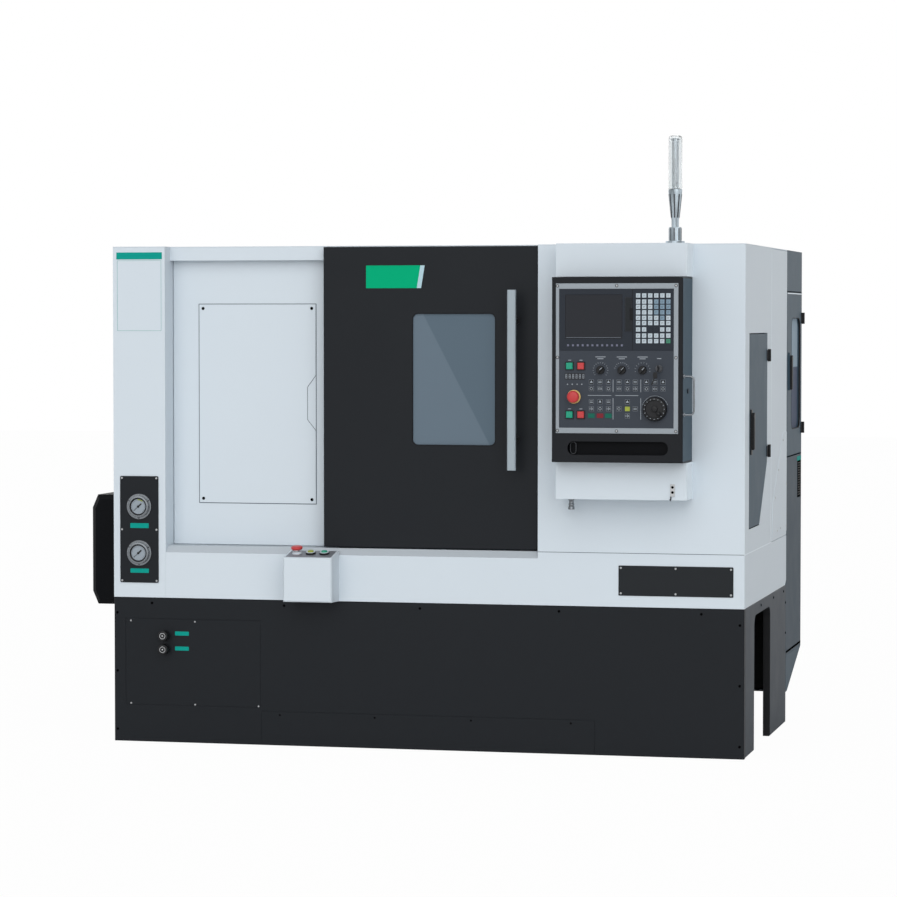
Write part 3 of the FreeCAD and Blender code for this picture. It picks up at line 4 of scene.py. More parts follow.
import bpy
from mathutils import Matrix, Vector

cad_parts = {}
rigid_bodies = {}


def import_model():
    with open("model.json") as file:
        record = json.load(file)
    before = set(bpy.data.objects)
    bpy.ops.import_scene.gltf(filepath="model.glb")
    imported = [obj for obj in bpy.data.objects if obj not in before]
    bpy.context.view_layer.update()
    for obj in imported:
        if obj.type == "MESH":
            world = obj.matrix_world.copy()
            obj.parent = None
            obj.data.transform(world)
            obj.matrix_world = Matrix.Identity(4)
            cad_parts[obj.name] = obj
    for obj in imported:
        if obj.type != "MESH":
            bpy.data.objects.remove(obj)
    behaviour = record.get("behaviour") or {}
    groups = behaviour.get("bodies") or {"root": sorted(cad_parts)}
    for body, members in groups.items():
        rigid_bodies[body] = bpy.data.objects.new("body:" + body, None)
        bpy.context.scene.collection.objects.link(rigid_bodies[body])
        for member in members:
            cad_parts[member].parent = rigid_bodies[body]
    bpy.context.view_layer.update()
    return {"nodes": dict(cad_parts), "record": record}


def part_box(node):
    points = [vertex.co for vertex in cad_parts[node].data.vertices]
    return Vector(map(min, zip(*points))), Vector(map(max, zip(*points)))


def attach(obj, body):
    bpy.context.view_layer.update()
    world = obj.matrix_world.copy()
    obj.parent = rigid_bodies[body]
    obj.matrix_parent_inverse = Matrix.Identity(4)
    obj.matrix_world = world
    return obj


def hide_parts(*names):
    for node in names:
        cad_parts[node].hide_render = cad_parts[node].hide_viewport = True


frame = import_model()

bl_info = {
    "name": "Turning Lathe",
    "version": (1, 0, 0),
    "blender": (4, 5, 0),
    "location": "3D View > Sidebar > Lathe",
    "description": "Finishes, controls and small fittings of an enclosed turning lathe",
    "category": "Object",
}

# Places are in millimetres from the machine's left front corner: x to the right, y to the back
# and z up from the floor. at() turns them into the scene's metres.
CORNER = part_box("base_front_cover")[0]
MM = 0.001

# The axes that the thickness of a plate can run along.
X, Y = 0, 1

# Metres under which points are one point, in new pieces and in copies of the machine's parts,
# and the angle under which faces of such a copy are one face.
MERGE = 0.00001
CAD_MERGE = 0.000002
FLAT = math.radians(0.6)

# An edge or a normal is in line with an axis from this share of its length.
IN_LINE = 0.99

# Planes, rows and centres that several pieces share, in millimetres.
RIGHT = 2200
ROOF = 1716
SERVICE_PANEL = 88
PANEL = -196
SIDE_HINGES = (988, 1320)
CABINET_HINGES = (1041, 1449)
CABINET_DOOR = (1070, 1478)
GAUGE_MIDDLE = 93.5
SQUARE_BUTTONS = ((1647, 1312), (1685, 1312), (1647, 1152), (1685, 1152))
STOP = (1662, PANEL, 1211)
WHEEL = (1932, PANEL, 1172)
KEY_LOCK = (1945, PANEL, 1304)
SELECTOR_ROW = 1299

# Each selector's node, its place across, and the ticks and the degrees of its scale.
SELECTORS = (
    ("feed_selector", 1750, 14, 260),
    ("rapid_selector", 1821, 9, 150),
    ("spindle_selector", 1890, 9, 200),
)
FLAT_KEY_COLUMNS = (1720, 1749, 1777, 1812, 1840, 1866, 1903, 1931, 1958)
DATA_KEY_COLUMNS = tuple(1875 + 20 * i for i in range(6))
DATA_KEY_ROWS = (1543, 1523, 1506, 1488, 1470, 1453, 1432, 1412, 1394)

# The floor's paper, and the lamp and the camera in the scene's metres.
PAPER_TONE = 0.92
PAPER_GLOW = 0.97
LAMP_PLACE = (-2, -6, 5)
LAMP_DIRECTION = Vector((-0.2, 0.9, -0.4))
LAMP_WIDTH = math.radians(80)
CAMERA_PLACE = (2.70583, -11.43327, 1.45941)
CAMERA_TURN = (math.radians(87.78), 0, math.radians(13.27))
CAMERA_LENS = 131.92
CAMERA_SENSOR = 36

SLOPE = math.radians(11.3)
OUTWARD = {
    "front": Vector((0, -1, 0)),
    "right": Vector((1, 0, 0)),
    "up": Vector((0, 0, 1)),
    "down": Vector((0, 0, -1)),
    "slope": Vector((0, -math.sin(SLOPE), math.cos(SLOPE))),
}
FACING = {
    "front": (math.radians(90), 0, 0),
    "right": (0, math.radians(90), 0),
    "up": (0, 0, 0),
    "down": (math.radians(180), 0, 0),
    "slope": (SLOPE, 0, 0),
}


def at(x, y, z):
    return Vector((CORNER.x + x * MM, CORNER.y + y * MM, z * MM))


def span(middle, half):
    return (middle - half, middle + half)


def beside(low, high):
    """From low to high millimetres out of the machine's right side."""
    return (RIGHT + low, RIGHT + high)


def ahead(far, near=0):
    """From far to near millimetres in front of the console's panels."""
    return (PANEL - far, PANEL - near)


def linear(value):
    """A screen value from 0 to 255 as scene-linear light."""
    part = value / 255
    return part / 12.92 if part <= 0.04045 else ((part + 0.055) / 1.055) ** 2.4


def colour(name, description, *screen):
    return bpy.props.FloatVectorProperty(
        name=name,
        description=description,
        default=[linear(value) for value in screen],
        subtype="COLOR",
        size=3,
        min=0.0,
        max=1.0,
    )


def length(name, description, metres):
    return bpy.props.FloatProperty(
        name=name, description=description, default=metres, subtype="DISTANCE", unit="LENGTH"
    )


class LatheColours(bpy.types.PropertyGroup):
    """Colours of the lathe's finishes"""

    white: colour("White sheet", "Powder coat of the upper covers", 208, 218, 226)
    black: colour("Black sheet", "Powder coat of the base and the door", 22, 26, 31)
    # Painted light: the right skirt has the base's black powder coat, made paler here because
    # light falls on that side.
    base_side: colour("Base side", "Powder coat of the right skirt, a little paler", 40, 50, 60)
    # Painted highlight: a near-white for the fold lines along the seams and for the pod's right
    # side, where light catches them.
    painted_highlight: colour("Painted highlight", "Folds and the pod side that catch light", 232, 242, 249)
    console: colour("Console paint", "Powder coat of the console's box", 20, 23, 28)
    # Also painted shade inside the console's pocket.
    hood: colour("Motor hood", "Paint of the motor hood and the vent's slats", 8, 10, 14)
    name_plate: colour("Name plate", "Blank name plate and the card cover", 28, 32, 36)
    # Also painted light on the console's right side, whose paint is the console's black.
    grey: colour("Grey sheet", "Powder coat of the side doors and the cabinet", 62, 81, 94)
    # Painted shade: the cabinet's lower sheet is the same grey sheet, made darker because it lies
    # in shade.
    shaded_grey: colour("Shaded grey", "Powder coat of the cabinet's lower sheet", 50, 66, 78)
    sill: colour("Sill", "Galvanised strip under the sliding door", 182, 190, 197)
    # Painted shade: a dark grey laid into the seams round the headstock panel, along its notch and
    # under the front fold, where the gaps are in shade.
    seam: colour("Seam", "Rubber and shade in the seams between covers", 92, 102, 111)
    casting: colour("Casting paint", "Paint on the castings inside", 150, 160, 158)
    motor: colour("Motor paint", "Paint on the main motor", 58, 62, 66)
    grip: colour("Door grip", "Satin paint of the door's grip", 158, 170, 178)
    aluminium: colour("Aluminium", "Frame round the console's panels", 148, 156, 163)
    steel: colour("Steel", "Turned parts, stainless sheet and bright screws", 186, 188, 190)
    # Also the dark strips on the signal lamp, which are painted reflections.
    dark_steel: colour("Dark steel", "Jaws, feet, small rings and the hook", 84, 86, 90)
    chrome: colour("Chrome", "Bright plated metal", 206, 210, 214)
    teal: colour("Teal", "Small labels and the placard's heading", 8, 150, 138)
    green_plate: colour("Green plate", "Plate on the sliding door", 2, 168, 118)
    stripe: colour("Stripe", "Pale stripe at the end of the door's plate", 176, 206, 216)
    film: colour("Panel film", "Film of the switch panel", 55, 61, 70)
    key_film: colour("Key film", "Flat keys of the switch panel", 12, 13, 17)
    icon: colour("Key signs", "Signs printed on the flat keys", 158, 167, 176)
    outline: colour("Key outlines", "Thin frames round the flat keys", 128, 136, 146)
    display: colour("Display plastic", "Front of the display unit", 43, 45, 50)
    key_field: colour("Key field", "Ground under the data keys", 36, 42, 51)
    soft_key: colour("Soft keys", "Row of keys under the screen", 112, 115, 134)
    light_key: colour("Light keys", "Light data keys", 184, 197, 206)
    blue_key: colour("Blue keys", "Blue-grey data keys", 122, 146, 164)
    enter_key: colour("Enter key", "Green data key", 62, 132, 106)
    dim_red: colour("Dim red", "Flat red key", 122, 38, 48)
    dim_green: colour("Dim green", "Flat green keys", 20, 98, 82)
    red: colour("Red", "Stop buttons", 190, 60, 62)
    green: colour("Green", "Start buttons", 22, 150, 120)
    lime: colour("Lime", "Reset button and jog key", 150, 162, 56)
    yellow: colour("Yellow", "Ring round the stop button", 214, 182, 116)
    # Also painted shade on the inside faces of the covers and in the tunnel through the bed.
    plastic: colour("Black plastic", "Knobs, collars and levers", 22, 23, 26)
    dial: colour("Dial", "Faces of the pressure gauges", 148, 158, 167)
    button_plate: colour("Button plate", "Metal plate on the start box", 136, 139, 146)
    gauge_metal: colour("Gauge metal", "Gauge cases, console grip and coupler", 128, 133, 138)
    # Print, and painted highlights: the ring of dots on the handwheel stands for glints on it.
    print_and_highlight_white: colour("White print", "Ticks, bars and dots on the panel", 168, 176, 184)
    # Painted reflection: the door's window takes two tones split by a slanted line, which stand
    # for what its glass reflects.
    window_reflection_low: colour("Window reflection, left", "Lower left part of the door's window", 97, 113, 126)
    window_reflection_high: colour("Window reflection, right", "Upper right part of the window", 85, 102, 115)
    # Painted reflection: the cabinet's window takes a dark lower tone and a light upper tone,
    # which stand for what its glass reflects.
    cabinet_reflection_low: colour("Cabinet window reflection, low", "Lower part of its window", 84, 93, 112)
    cabinet_reflection_high: colour("Cabinet window reflection, high", "Upper part of its window", 150, 168, 182)
    # Painted reflection: strong streaks along the lamp's axis stand for what its bright steel
    # reflects.
    lamp_steel_painted_reflections: colour("Lamp steel, painted reflections", "Streaky bright steel of the signal lamp", 176, 188, 196)
    # Real black screws, and painted shade in the cabinet's seams, along its bottom edge and behind
    # the vent's slats.
    screw_black_and_seam_shade: colour("Screw black and seam shade", "Blackened screws and the cabinet's seams", 4, 4, 5)


class LatheSizes(bpy.types.PropertyGroup):
    """Sizes of the small fittings"""

    edge: length("Sheet edge", "Rounding on the edges of folded sheet", 0.8 * MM)
    screw: length("Screw head", "Radius of the cover screws' heads", 4.5 * MM)
    small_screw: length("Small screw head", "Radius of the console's screw heads", 3.4 * MM)
    gasket: length("Gasket", "Width of the rubber round the door's window", 3 * MM)
    floor: length("Floor", "Width of the floor", 60.0)
    day: bpy.props.FloatProperty(
        name="Room light", description="Strength of the room's even light", default=0.42, min=0.0
    )
    lamp: bpy.props.FloatProperty(
        name="Lamp light", description="Strength of the broad lamp in front", default=2.0, min=0.0
    )


def finish(name):
    return bpy.data.materials[name]


def deselect():
    if bpy.context.object and bpy.context.object.mode != "OBJECT":
        bpy.ops.object.mode_set(mode="OBJECT")
    bpy.ops.object.select_all(action="DESELECT")


def pick(*pieces):
    """Selects only these pieces and makes the first one active."""
    deselect()
    for piece in pieces:
        piece.select_set(True)
    bpy.context.view_layer.objects.active = pieces[0]


def open_on(piece, kind="FACE", wanted=lambda part: True):
    """Opens a piece in edit mode with only the faces or edges that pass a test selected."""
    pick(piece)
    bpy.ops.object.mode_set(mode="EDIT")
    bpy.ops.mesh.select_mode(type=kind)
    bpy.ops.mesh.select_all(action="DESELECT")
    bpy.ops.object.mode_set(mode="OBJECT")
    mesh = piece.data
    for part in mesh.polygons if kind == "FACE" else mesh.edges:
        part.select = wanted(part)
    bpy.ops.object.mode_set(mode="EDIT")


def close():
    bpy.ops.object.mode_set(mode="OBJECT")


def close_outward():
    """Turns every face of the open piece outward and closes it."""
    bpy.ops.mesh.select_all(action="SELECT")
    bpy.ops.mesh.normals_make_consistent(inside=False)
    close()


def settle(piece):
    """Puts a piece's place, turn and scale into its mesh."""
    pick(piece)
    bpy.ops.object.transform_apply(location=True, rotation=True, scale=True)
    return piece


def smooth(piece, degrees=28):
    pick(piece)
    bpy.ops.object.shade_smooth_by_angle(angle=math.radians(degrees))
    return piece


def flat_faces_first(piece):
    """Lets the large faces set the shading, so that a flat sheet stays flat up to its edges."""
    pick(piece)
    shading = piece.modifiers.new("shading", "WEIGHTED_NORMAL")
    shading.keep_sharp = True
    bpy.ops.object.modifier_apply(modifier=shading.name)
    return piece


def round_edges(piece, width, degrees=35):
    """Rounds every edge that is sharper than an angle, by a width in metres."""
    pick(piece)
    bevel = piece.modifiers.new("edges", "BEVEL")
    bevel.width = width
    bevel.segments = 2
    bevel.limit_method = "ANGLE"
    bevel.angle_limit = math.radians(degrees)
    bpy.ops.object.modifier_apply(modifier=bevel.name)
    return piece


def block(x, y, z, edge=0.4, tilt=(0, 0, 0)):
    """A box between two values on each axis, with rounded edges."""
    deselect()
    low, high = at(x[0], y[0], z[0]), at(x[1], y[1], z[1])
    bpy.ops.mesh.primitive_cube_add(
        size=1, location=(low + high) / 2, rotation=tilt, scale=high - low
    )
    piece = settle(bpy.context.object)
    return round_edges(piece, edge * MM) if edge else piece


def runs_along(piece, axis):
    """A test for the edges that run along an axis."""
    points = piece.data.vertices

    def along(edge):
        run = points[edge.vertices[0]].co - points[edge.vertices[1]].co
        return abs(run[axis]) > IN_LINE * run.length

    return along


def plate(x, y, z, thin, corner, edge=0.4, steps=6):
    """A plate with round corners whose thickness is along the axis numbered thin."""
    piece = block(x, y, z, 0)
    open_on(piece, "EDGE", runs_along(piece, thin))
    bpy.ops.mesh.bevel(offset=corner * MM, segments=steps, affect="EDGES")
    close()
    return round_edges(piece, edge * MM) if edge else piece


def open_frame(x, y, z, thin, corner, border, steps=6):
    """A plate with round corners, opened into a frame with a border of this width."""
    piece = plate(x, y, z, thin, corner, 0, steps)
    open_on(piece, "FACE", lambda face: abs(face.normal[thin]) > IN_LINE)
    bpy.ops.mesh.inset(thickness=border * MM, depth=0)
    bpy.ops.mesh.bridge_edge_loops()
    close()
    return piece


def open_circle(facing, centre, radius, sides, fill):
    """A circle round a centre in metres, open in edit mode."""
    deselect()
    bpy.ops.mesh.primitive_circle_add(
        vertices=sides,
        radius=radius * MM,
        fill_type=fill,
        location=centre,
        rotation=FACING[facing],
    )
    piece = settle(bpy.context.object)
    bpy.ops.object.mode_set(mode="EDIT")
    return piece


def turned(facing, centre, profile, sides=40, edge=0.0, degrees=28):
    """A turned piece: a disc drawn out along its axis through (distance, radius) pairs."""
    middle, outward = at(*centre), OUTWARD[facing]
    out, radius = profile[0]
    piece = open_circle(facing, middle + outward * out * MM, radius, sides, "NGON")
    bpy.ops.mesh.select_all(action="SELECT")
    for next_out, next_radius in profile[1:]:
        step = outward * (next_out - out) * MM
        bpy.ops.mesh.extrude_region_move(TRANSFORM_OT_translate={"value": step})
        factor = next_radius / radius
        if factor != 1:
            pivot = middle + outward * next_out * MM
            bpy.ops.transform.resize(value=(factor, factor, factor), center_override=pivot)
        out, radius = next_out, next_radius
    close_outward()
    if edge:
        round_edges(piece, edge * MM)
    return smooth(piece, degrees)


def bent_rod(start, direction, radius, route):
    """A bent rod: ("run", vector in mm) or ("bend", degrees, centre, axis) steps from a start."""
    piece = open_circle(direction, at(*start), radius, 14, "NOTHING")
    bpy.ops.mesh.select_mode(type="EDGE")
    bpy.ops.mesh.select_all(action="SELECT")
    for kind, amount, *bend in route:
        if kind == "run":
            step = Vector(amount) * MM
            bpy.ops.mesh.extrude_region_move(TRANSFORM_OT_translate={"value": step})
        else:
            centre, axis = bend
            turn = math.radians(amount)
            bpy.ops.mesh.spin(steps=8, angle=turn, center=at(*centre), axis=axis)
    bpy.ops.mesh.select_all(action="SELECT")
    bpy.ops.mesh.remove_doubles(threshold=MERGE)
    bpy.ops.mesh.select_all(action="DESELECT")
    bpy.ops.mesh.select_non_manifold()
    bpy.ops.mesh.edge_face_add()
    close_outward()
    return smooth(piece, 40)


def sliced(piece, point, normal):
    """Cuts off what lies on the normal's side of a plane and closes the cut."""
    open_on(piece)
    bpy.ops.mesh.bisect(
        plane_co=at(*point),
        plane_no=Vector(normal).normalized(),
        use_fill=True,
        clear_outer=True,
    )
    close()
    return piece


def repeated(piece, *moves):
    """The piece and its copies, each moved from it by millimetres, as one mesh."""
    made = [piece]
    for move in moves:
        pick(piece)
        bpy.ops.object.duplicate_move(TRANSFORM_OT_translate={"value": Vector(move) * MM})
        made.append(settle(bpy.context.object))
    return joined(*made)


def at_each(piece, places):
    """A piece that stands at the first of the places, repeated at all the others."""
    first, *others = places
    return repeated(piece, *[[b - a for a, b in zip(first, place)] for place in others])


def around(piece, count, degrees, centre, axis=(0, 1, 0)):
    """Repeats a piece round a centre, evenly over an angle."""
    open_on(piece)
    bpy.ops.mesh.select_all(action="SELECT")
    bpy.ops.mesh.spin(
        steps=count, dupli=True, angle=math.radians(degrees), center=at(*centre), axis=axis
    )
    bpy.ops.mesh.select_all(action="SELECT")
    bpy.ops.mesh.remove_doubles(threshold=MERGE)
    close()
    return piece


def ray(x, z, angle, inner, outer, wide, deep):
    """A printed mark on the front that points away from a centre, at an angle from the top."""
    turn = math.radians(angle)
    reach, half = (inner + outer) / 2, (outer - inner) / 2
    across, up = x + reach * math.sin(turn), z + reach * math.cos(turn)
    sides, ends = span(across, wide / 2), span(up, half)
    return block(sides, deep, ends, 0, (0, turn, 0))


def painted(piece, name):
    piece.data.materials.clear()
    piece.data.materials.append(finish(name))
    return piece


def joined(*pieces):
    if len(pieces) > 1:
        pick(*pieces)
        bpy.ops.object.join()
    return pieces[0]


def seat(piece, name, body, slot, *stands_for):
    """Names a piece, puts it on its body and hides the parts that it stands for; the slot is not
    used.
    """
    piece.name = piece.data.name = name
    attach(piece, body)
    if stands_for:
        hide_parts(*stands_for)
    return piece


def body_of_node(node):
    return next(b for b, nodes in frame["record"]["behaviour"]["bodies"].items() if node in nodes)


def slot_of(node):
    return next(p["material_slot"] for p in frame["record"]["subparts"] if p["node"] == node)


def dressed(node, material, edge=None, areas=(), degrees=40):
    """A finished copy of a machine part: its edges eased and its special areas painted."""
    if edge is None:
        edge = bpy.context.scene.lathe_sizes.edge / MM
    pick(frame["nodes"][node])
    bpy.ops.object.duplicate()
    piece = bpy.context.object
    for key in [key for key in piece.keys() if key.startswith("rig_")]:
        del piece[key]
    bpy.ops.object.parent_clear(type="CLEAR_KEEP_TRANSFORM")
    settle(piece)
    if piece.data.has_custom_normals:
        bpy.ops.mesh.customdata_custom_splitnormals_clear()
    bpy.ops.object.mode_set(mode="EDIT")
    bpy.ops.mesh.select_all(action="SELECT")
    bpy.ops.mesh.remove_doubles(threshold=CAD_MERGE)
    bpy.ops.mesh.dissolve_limited(angle_limit=FLAT)
    close()
    painted(piece, material)
    for number, (other, low, high) in enumerate(areas, start=1):
        piece.data.materials.append(finish(other))
        bottom, top = at(*low), at(*high)
        for face in piece.data.polygons:
            if all(bottom[i] <= face.center[i] <= top[i] for i in range(3)):
                face.material_index = number
    round_edges(piece, edge * MM, degrees=32)
    flat_faces_first(smooth(piece, degrees))
    return seat(piece, node + "_finished", body_of_node(node), slot_of(node), node)


def hinge_areas(rows, depths, inner=0.5, outer=15, spare=1):
    """The areas of the hinges that start at these heights, painted black on the right side."""
    (front, back), tall = depths, 42 + spare
    near, far = RIGHT + inner, RIGHT + outer
    return [
        ("black plastic and painted shade", (near, front, z - spare), (far, back, z + tall)) for z in rows
    ]


def screws(name, body, slot, facing, places, radius, material):
    """Pan-head screws with a socket at each of the places."""
    profile = [
        (-1, radius),
        (0.9, radius),
        (2.0, radius * 0.72),
        (2.0, radius * 0.42),
        (0.7, radius * 0.40),
    ]
    head = painted(turned(facing, places[0], profile, 16), material)
    return seat(at_each(head, places), name, body, slot)


def socket(group, name, kind, into=True, value=None):
    made = group.interface.new_socket(
        name=name, in_out="INPUT" if into else "OUTPUT", socket_type=kind
    )
    if value is not None:
        made.default_value = value


def effect_group(name, inputs):
    """An empty effect with its inputs and the three outputs that every effect here has."""
    group = bpy.data.node_groups.new(name, "ShaderNodeTree")
    socket(group, "Vector", "NodeSocketVector")
    socket(group, "Colour", "NodeSocketColor", value=(0.5, 0.5, 0.5, 1))
    for key, value in inputs.items():
        socket(group, key, "NodeSocketFloat", value=value)
    socket(group, "Colour", "NodeSocketColor", False)
    socket(group, "Roughness", "NodeSocketFloat", False)
    socket(group, "Height", "NodeSocketFloat", False)
    start = group.nodes.new("NodeGroupInput")
    end = group.nodes.new("NodeGroupOutput")
    return group, start, end


def noise(group, vector, scale, detail):
    made = group.nodes.new("ShaderNodeTexNoise")
    made.inputs["Detail"].default_value = detail
    group.links.new(vector, made.inputs["Vector"])
    if isinstance(scale, (int, float)):
        made.inputs["Scale"].default_value = scale
    else:
        group.links.new(scale, made.inputs["Scale"])
    return made.outputs["Fac"]


def arithmetic(group, operation, first, second, third=None):
    made = group.nodes.new("ShaderNodeMath")
    made.operation = operation
    for place, value in zip(made.inputs, (first, second, third)):
        if isinstance(value, (int, float)):
            place.default_value = value
        elif value is not None:
            group.links.new(value, place)
    return made.outputs[0]


def toned(group, paint, amount, wave):
    """The colour made a little lighter and darker by a wave from 0 to 1."""
    shift = arithmetic(group, "SUBTRACT", wave, 0.5)
    value = arithmetic(group, "MULTIPLY_ADD", shift, amount, 1.0)
    made = group.nodes.new("ShaderNodeHueSaturation")
    group.links.new(paint, made.inputs["Color"])
    group.links.new(value, made.inputs["Value"])
    return made.outputs["Color"]


def steered(group, start, end, tone, drift, height):
    """Steers an effect's colour, roughness and height by three waves from 0 to 1."""
    given = start.outputs
    paint = toned(group, given["Colour"], given["Tone"], tone)
    group.links.new(paint, end.inputs["Colour"])
    shift = arithmetic(group, "SUBTRACT", drift, 0.5)
    rough = arithmetic(group, "MULTIPLY_ADD", shift, given["Drift"], given["Shine"])
    group.links.new(rough, end.inputs["Roughness"])
    group.links.new(height, end.inputs["Height"])


def powder_coat():
    """Fine orange peel of baked powder, with a slow drift of tone and shine."""
    group, start, end = effect_group(
        "powder coat", {"Grain": 700.0, "Tone": 0.08, "Shine": 0.45, "Drift": 0.12}
    )
    peel = noise(group, start.outputs["Vector"], start.outputs["Grain"], 3.0)
    slow = noise(group, start.outputs["Vector"], 2.2, 4.0)
    patches = noise(group, start.outputs["Vector"], 9.0, 3.0)
    steered(group, start, end, slow, patches, peel)


def brushed():
    """Fine lines along one direction, as a belt or a grinding wheel leaves them."""
    along = {"Along X": 1.0, "Along Y": 1.0, "Along Z": 0.03}
    group, start, end = effect_group(
        "brushed", {**along, "Tone": 0.2, "Shine": 0.3, "Drift": 0.2}
    )
    stretch = group.nodes.new("ShaderNodeCombineXYZ")
    for place, key in zip(stretch.inputs, along):
        group.links.new(start.outputs[key], place)
    scaled = group.nodes.new("ShaderNodeVectorMath")
    scaled.operation = "MULTIPLY"
    group.links.new(start.outputs["Vector"], scaled.inputs[0])
    group.links.new(stretch.outputs[0], scaled.inputs[1])
    lines = noise(group, scaled.outputs[0], 1400.0, 2.0)
    steered(group, start, end, lines, lines, lines)


def coated(name, tint, values, bump, effect="powder coat", depth=0.00006, **numbers):
    """A finish: one effect group feeding a surface, which holds the plain numbers itself."""
    material = bpy.data.materials.new(name)
    material.use_nodes = True
    nodes, links = material.node_tree.nodes, material.node_tree.links
    surface = nodes["Principled BSDF"]
    place = nodes.new("ShaderNodeTexCoord")
    made = nodes.new("ShaderNodeGroup")
    made.node_tree = bpy.data.node_groups[effect]
    made.inputs["Colour"].default_value = (*tint, 1)
    for key, value in values.items():
        made.inputs[key].default_value = value
    relief = nodes.new("ShaderNodeBump")
    relief.inputs["Strength"].default_value = bump
    relief.inputs["Distance"].default_value = depth
    links.new(place.outputs["Object"], made.inputs["Vector"])
    links.new(made.outputs["Colour"], surface.inputs["Base Color"])
    links.new(made.outputs["Roughness"], surface.inputs["Roughness"])
    links.new(made.outputs["Height"], relief.inputs["Height"])
    links.new(relief.outputs["Normal"], surface.inputs["Normal"])
    for key, value in numbers.items():
        surface.inputs[key.replace("_", " ").title().replace("Ior", "IOR")].default_value = value
    return material


def window_with_painted_reflection(name, left, right, point, normal, shine=0.3, gloss=0.2):
    """A pane with a painted reflection: two tones that meet on the plane through a point, given by
    its normal.
    """
    values = {"Shine": shine, "Tone": 0.02, "Drift": 0.04}
    material = coated(name, left, values, 0.02, specular_ior_level=gloss)
    nodes, links = material.node_tree.nodes, material.node_tree.links
    split = nodes.new("ShaderNodeVectorMath")
    split.operation = "DOT_PRODUCT"
    split.inputs[1].default_value = normal
    links.new(nodes["Texture Coordinate"].outputs["Object"], split.inputs[0])
    line = Vector(normal).dot(point)
    side = nodes.new("ShaderNodeMapRange")
    side.inputs["From Min"].default_value = line - 0.002
    side.inputs["From Max"].default_value = line + 0.002
    links.new(split.outputs["Value"], side.inputs["Value"])
    reflection_tones = nodes.new("ShaderNodeValToRGB")
    reflection_tones.color_ramp.elements[0].color = (*left, 1)
    reflection_tones.color_ramp.elements[1].color = (*right, 1)
    links.new(side.outputs[0], reflection_tones.inputs["Fac"])
    links.new(reflection_tones.outputs["Color"], nodes["Group"].inputs["Colour"])
    return material


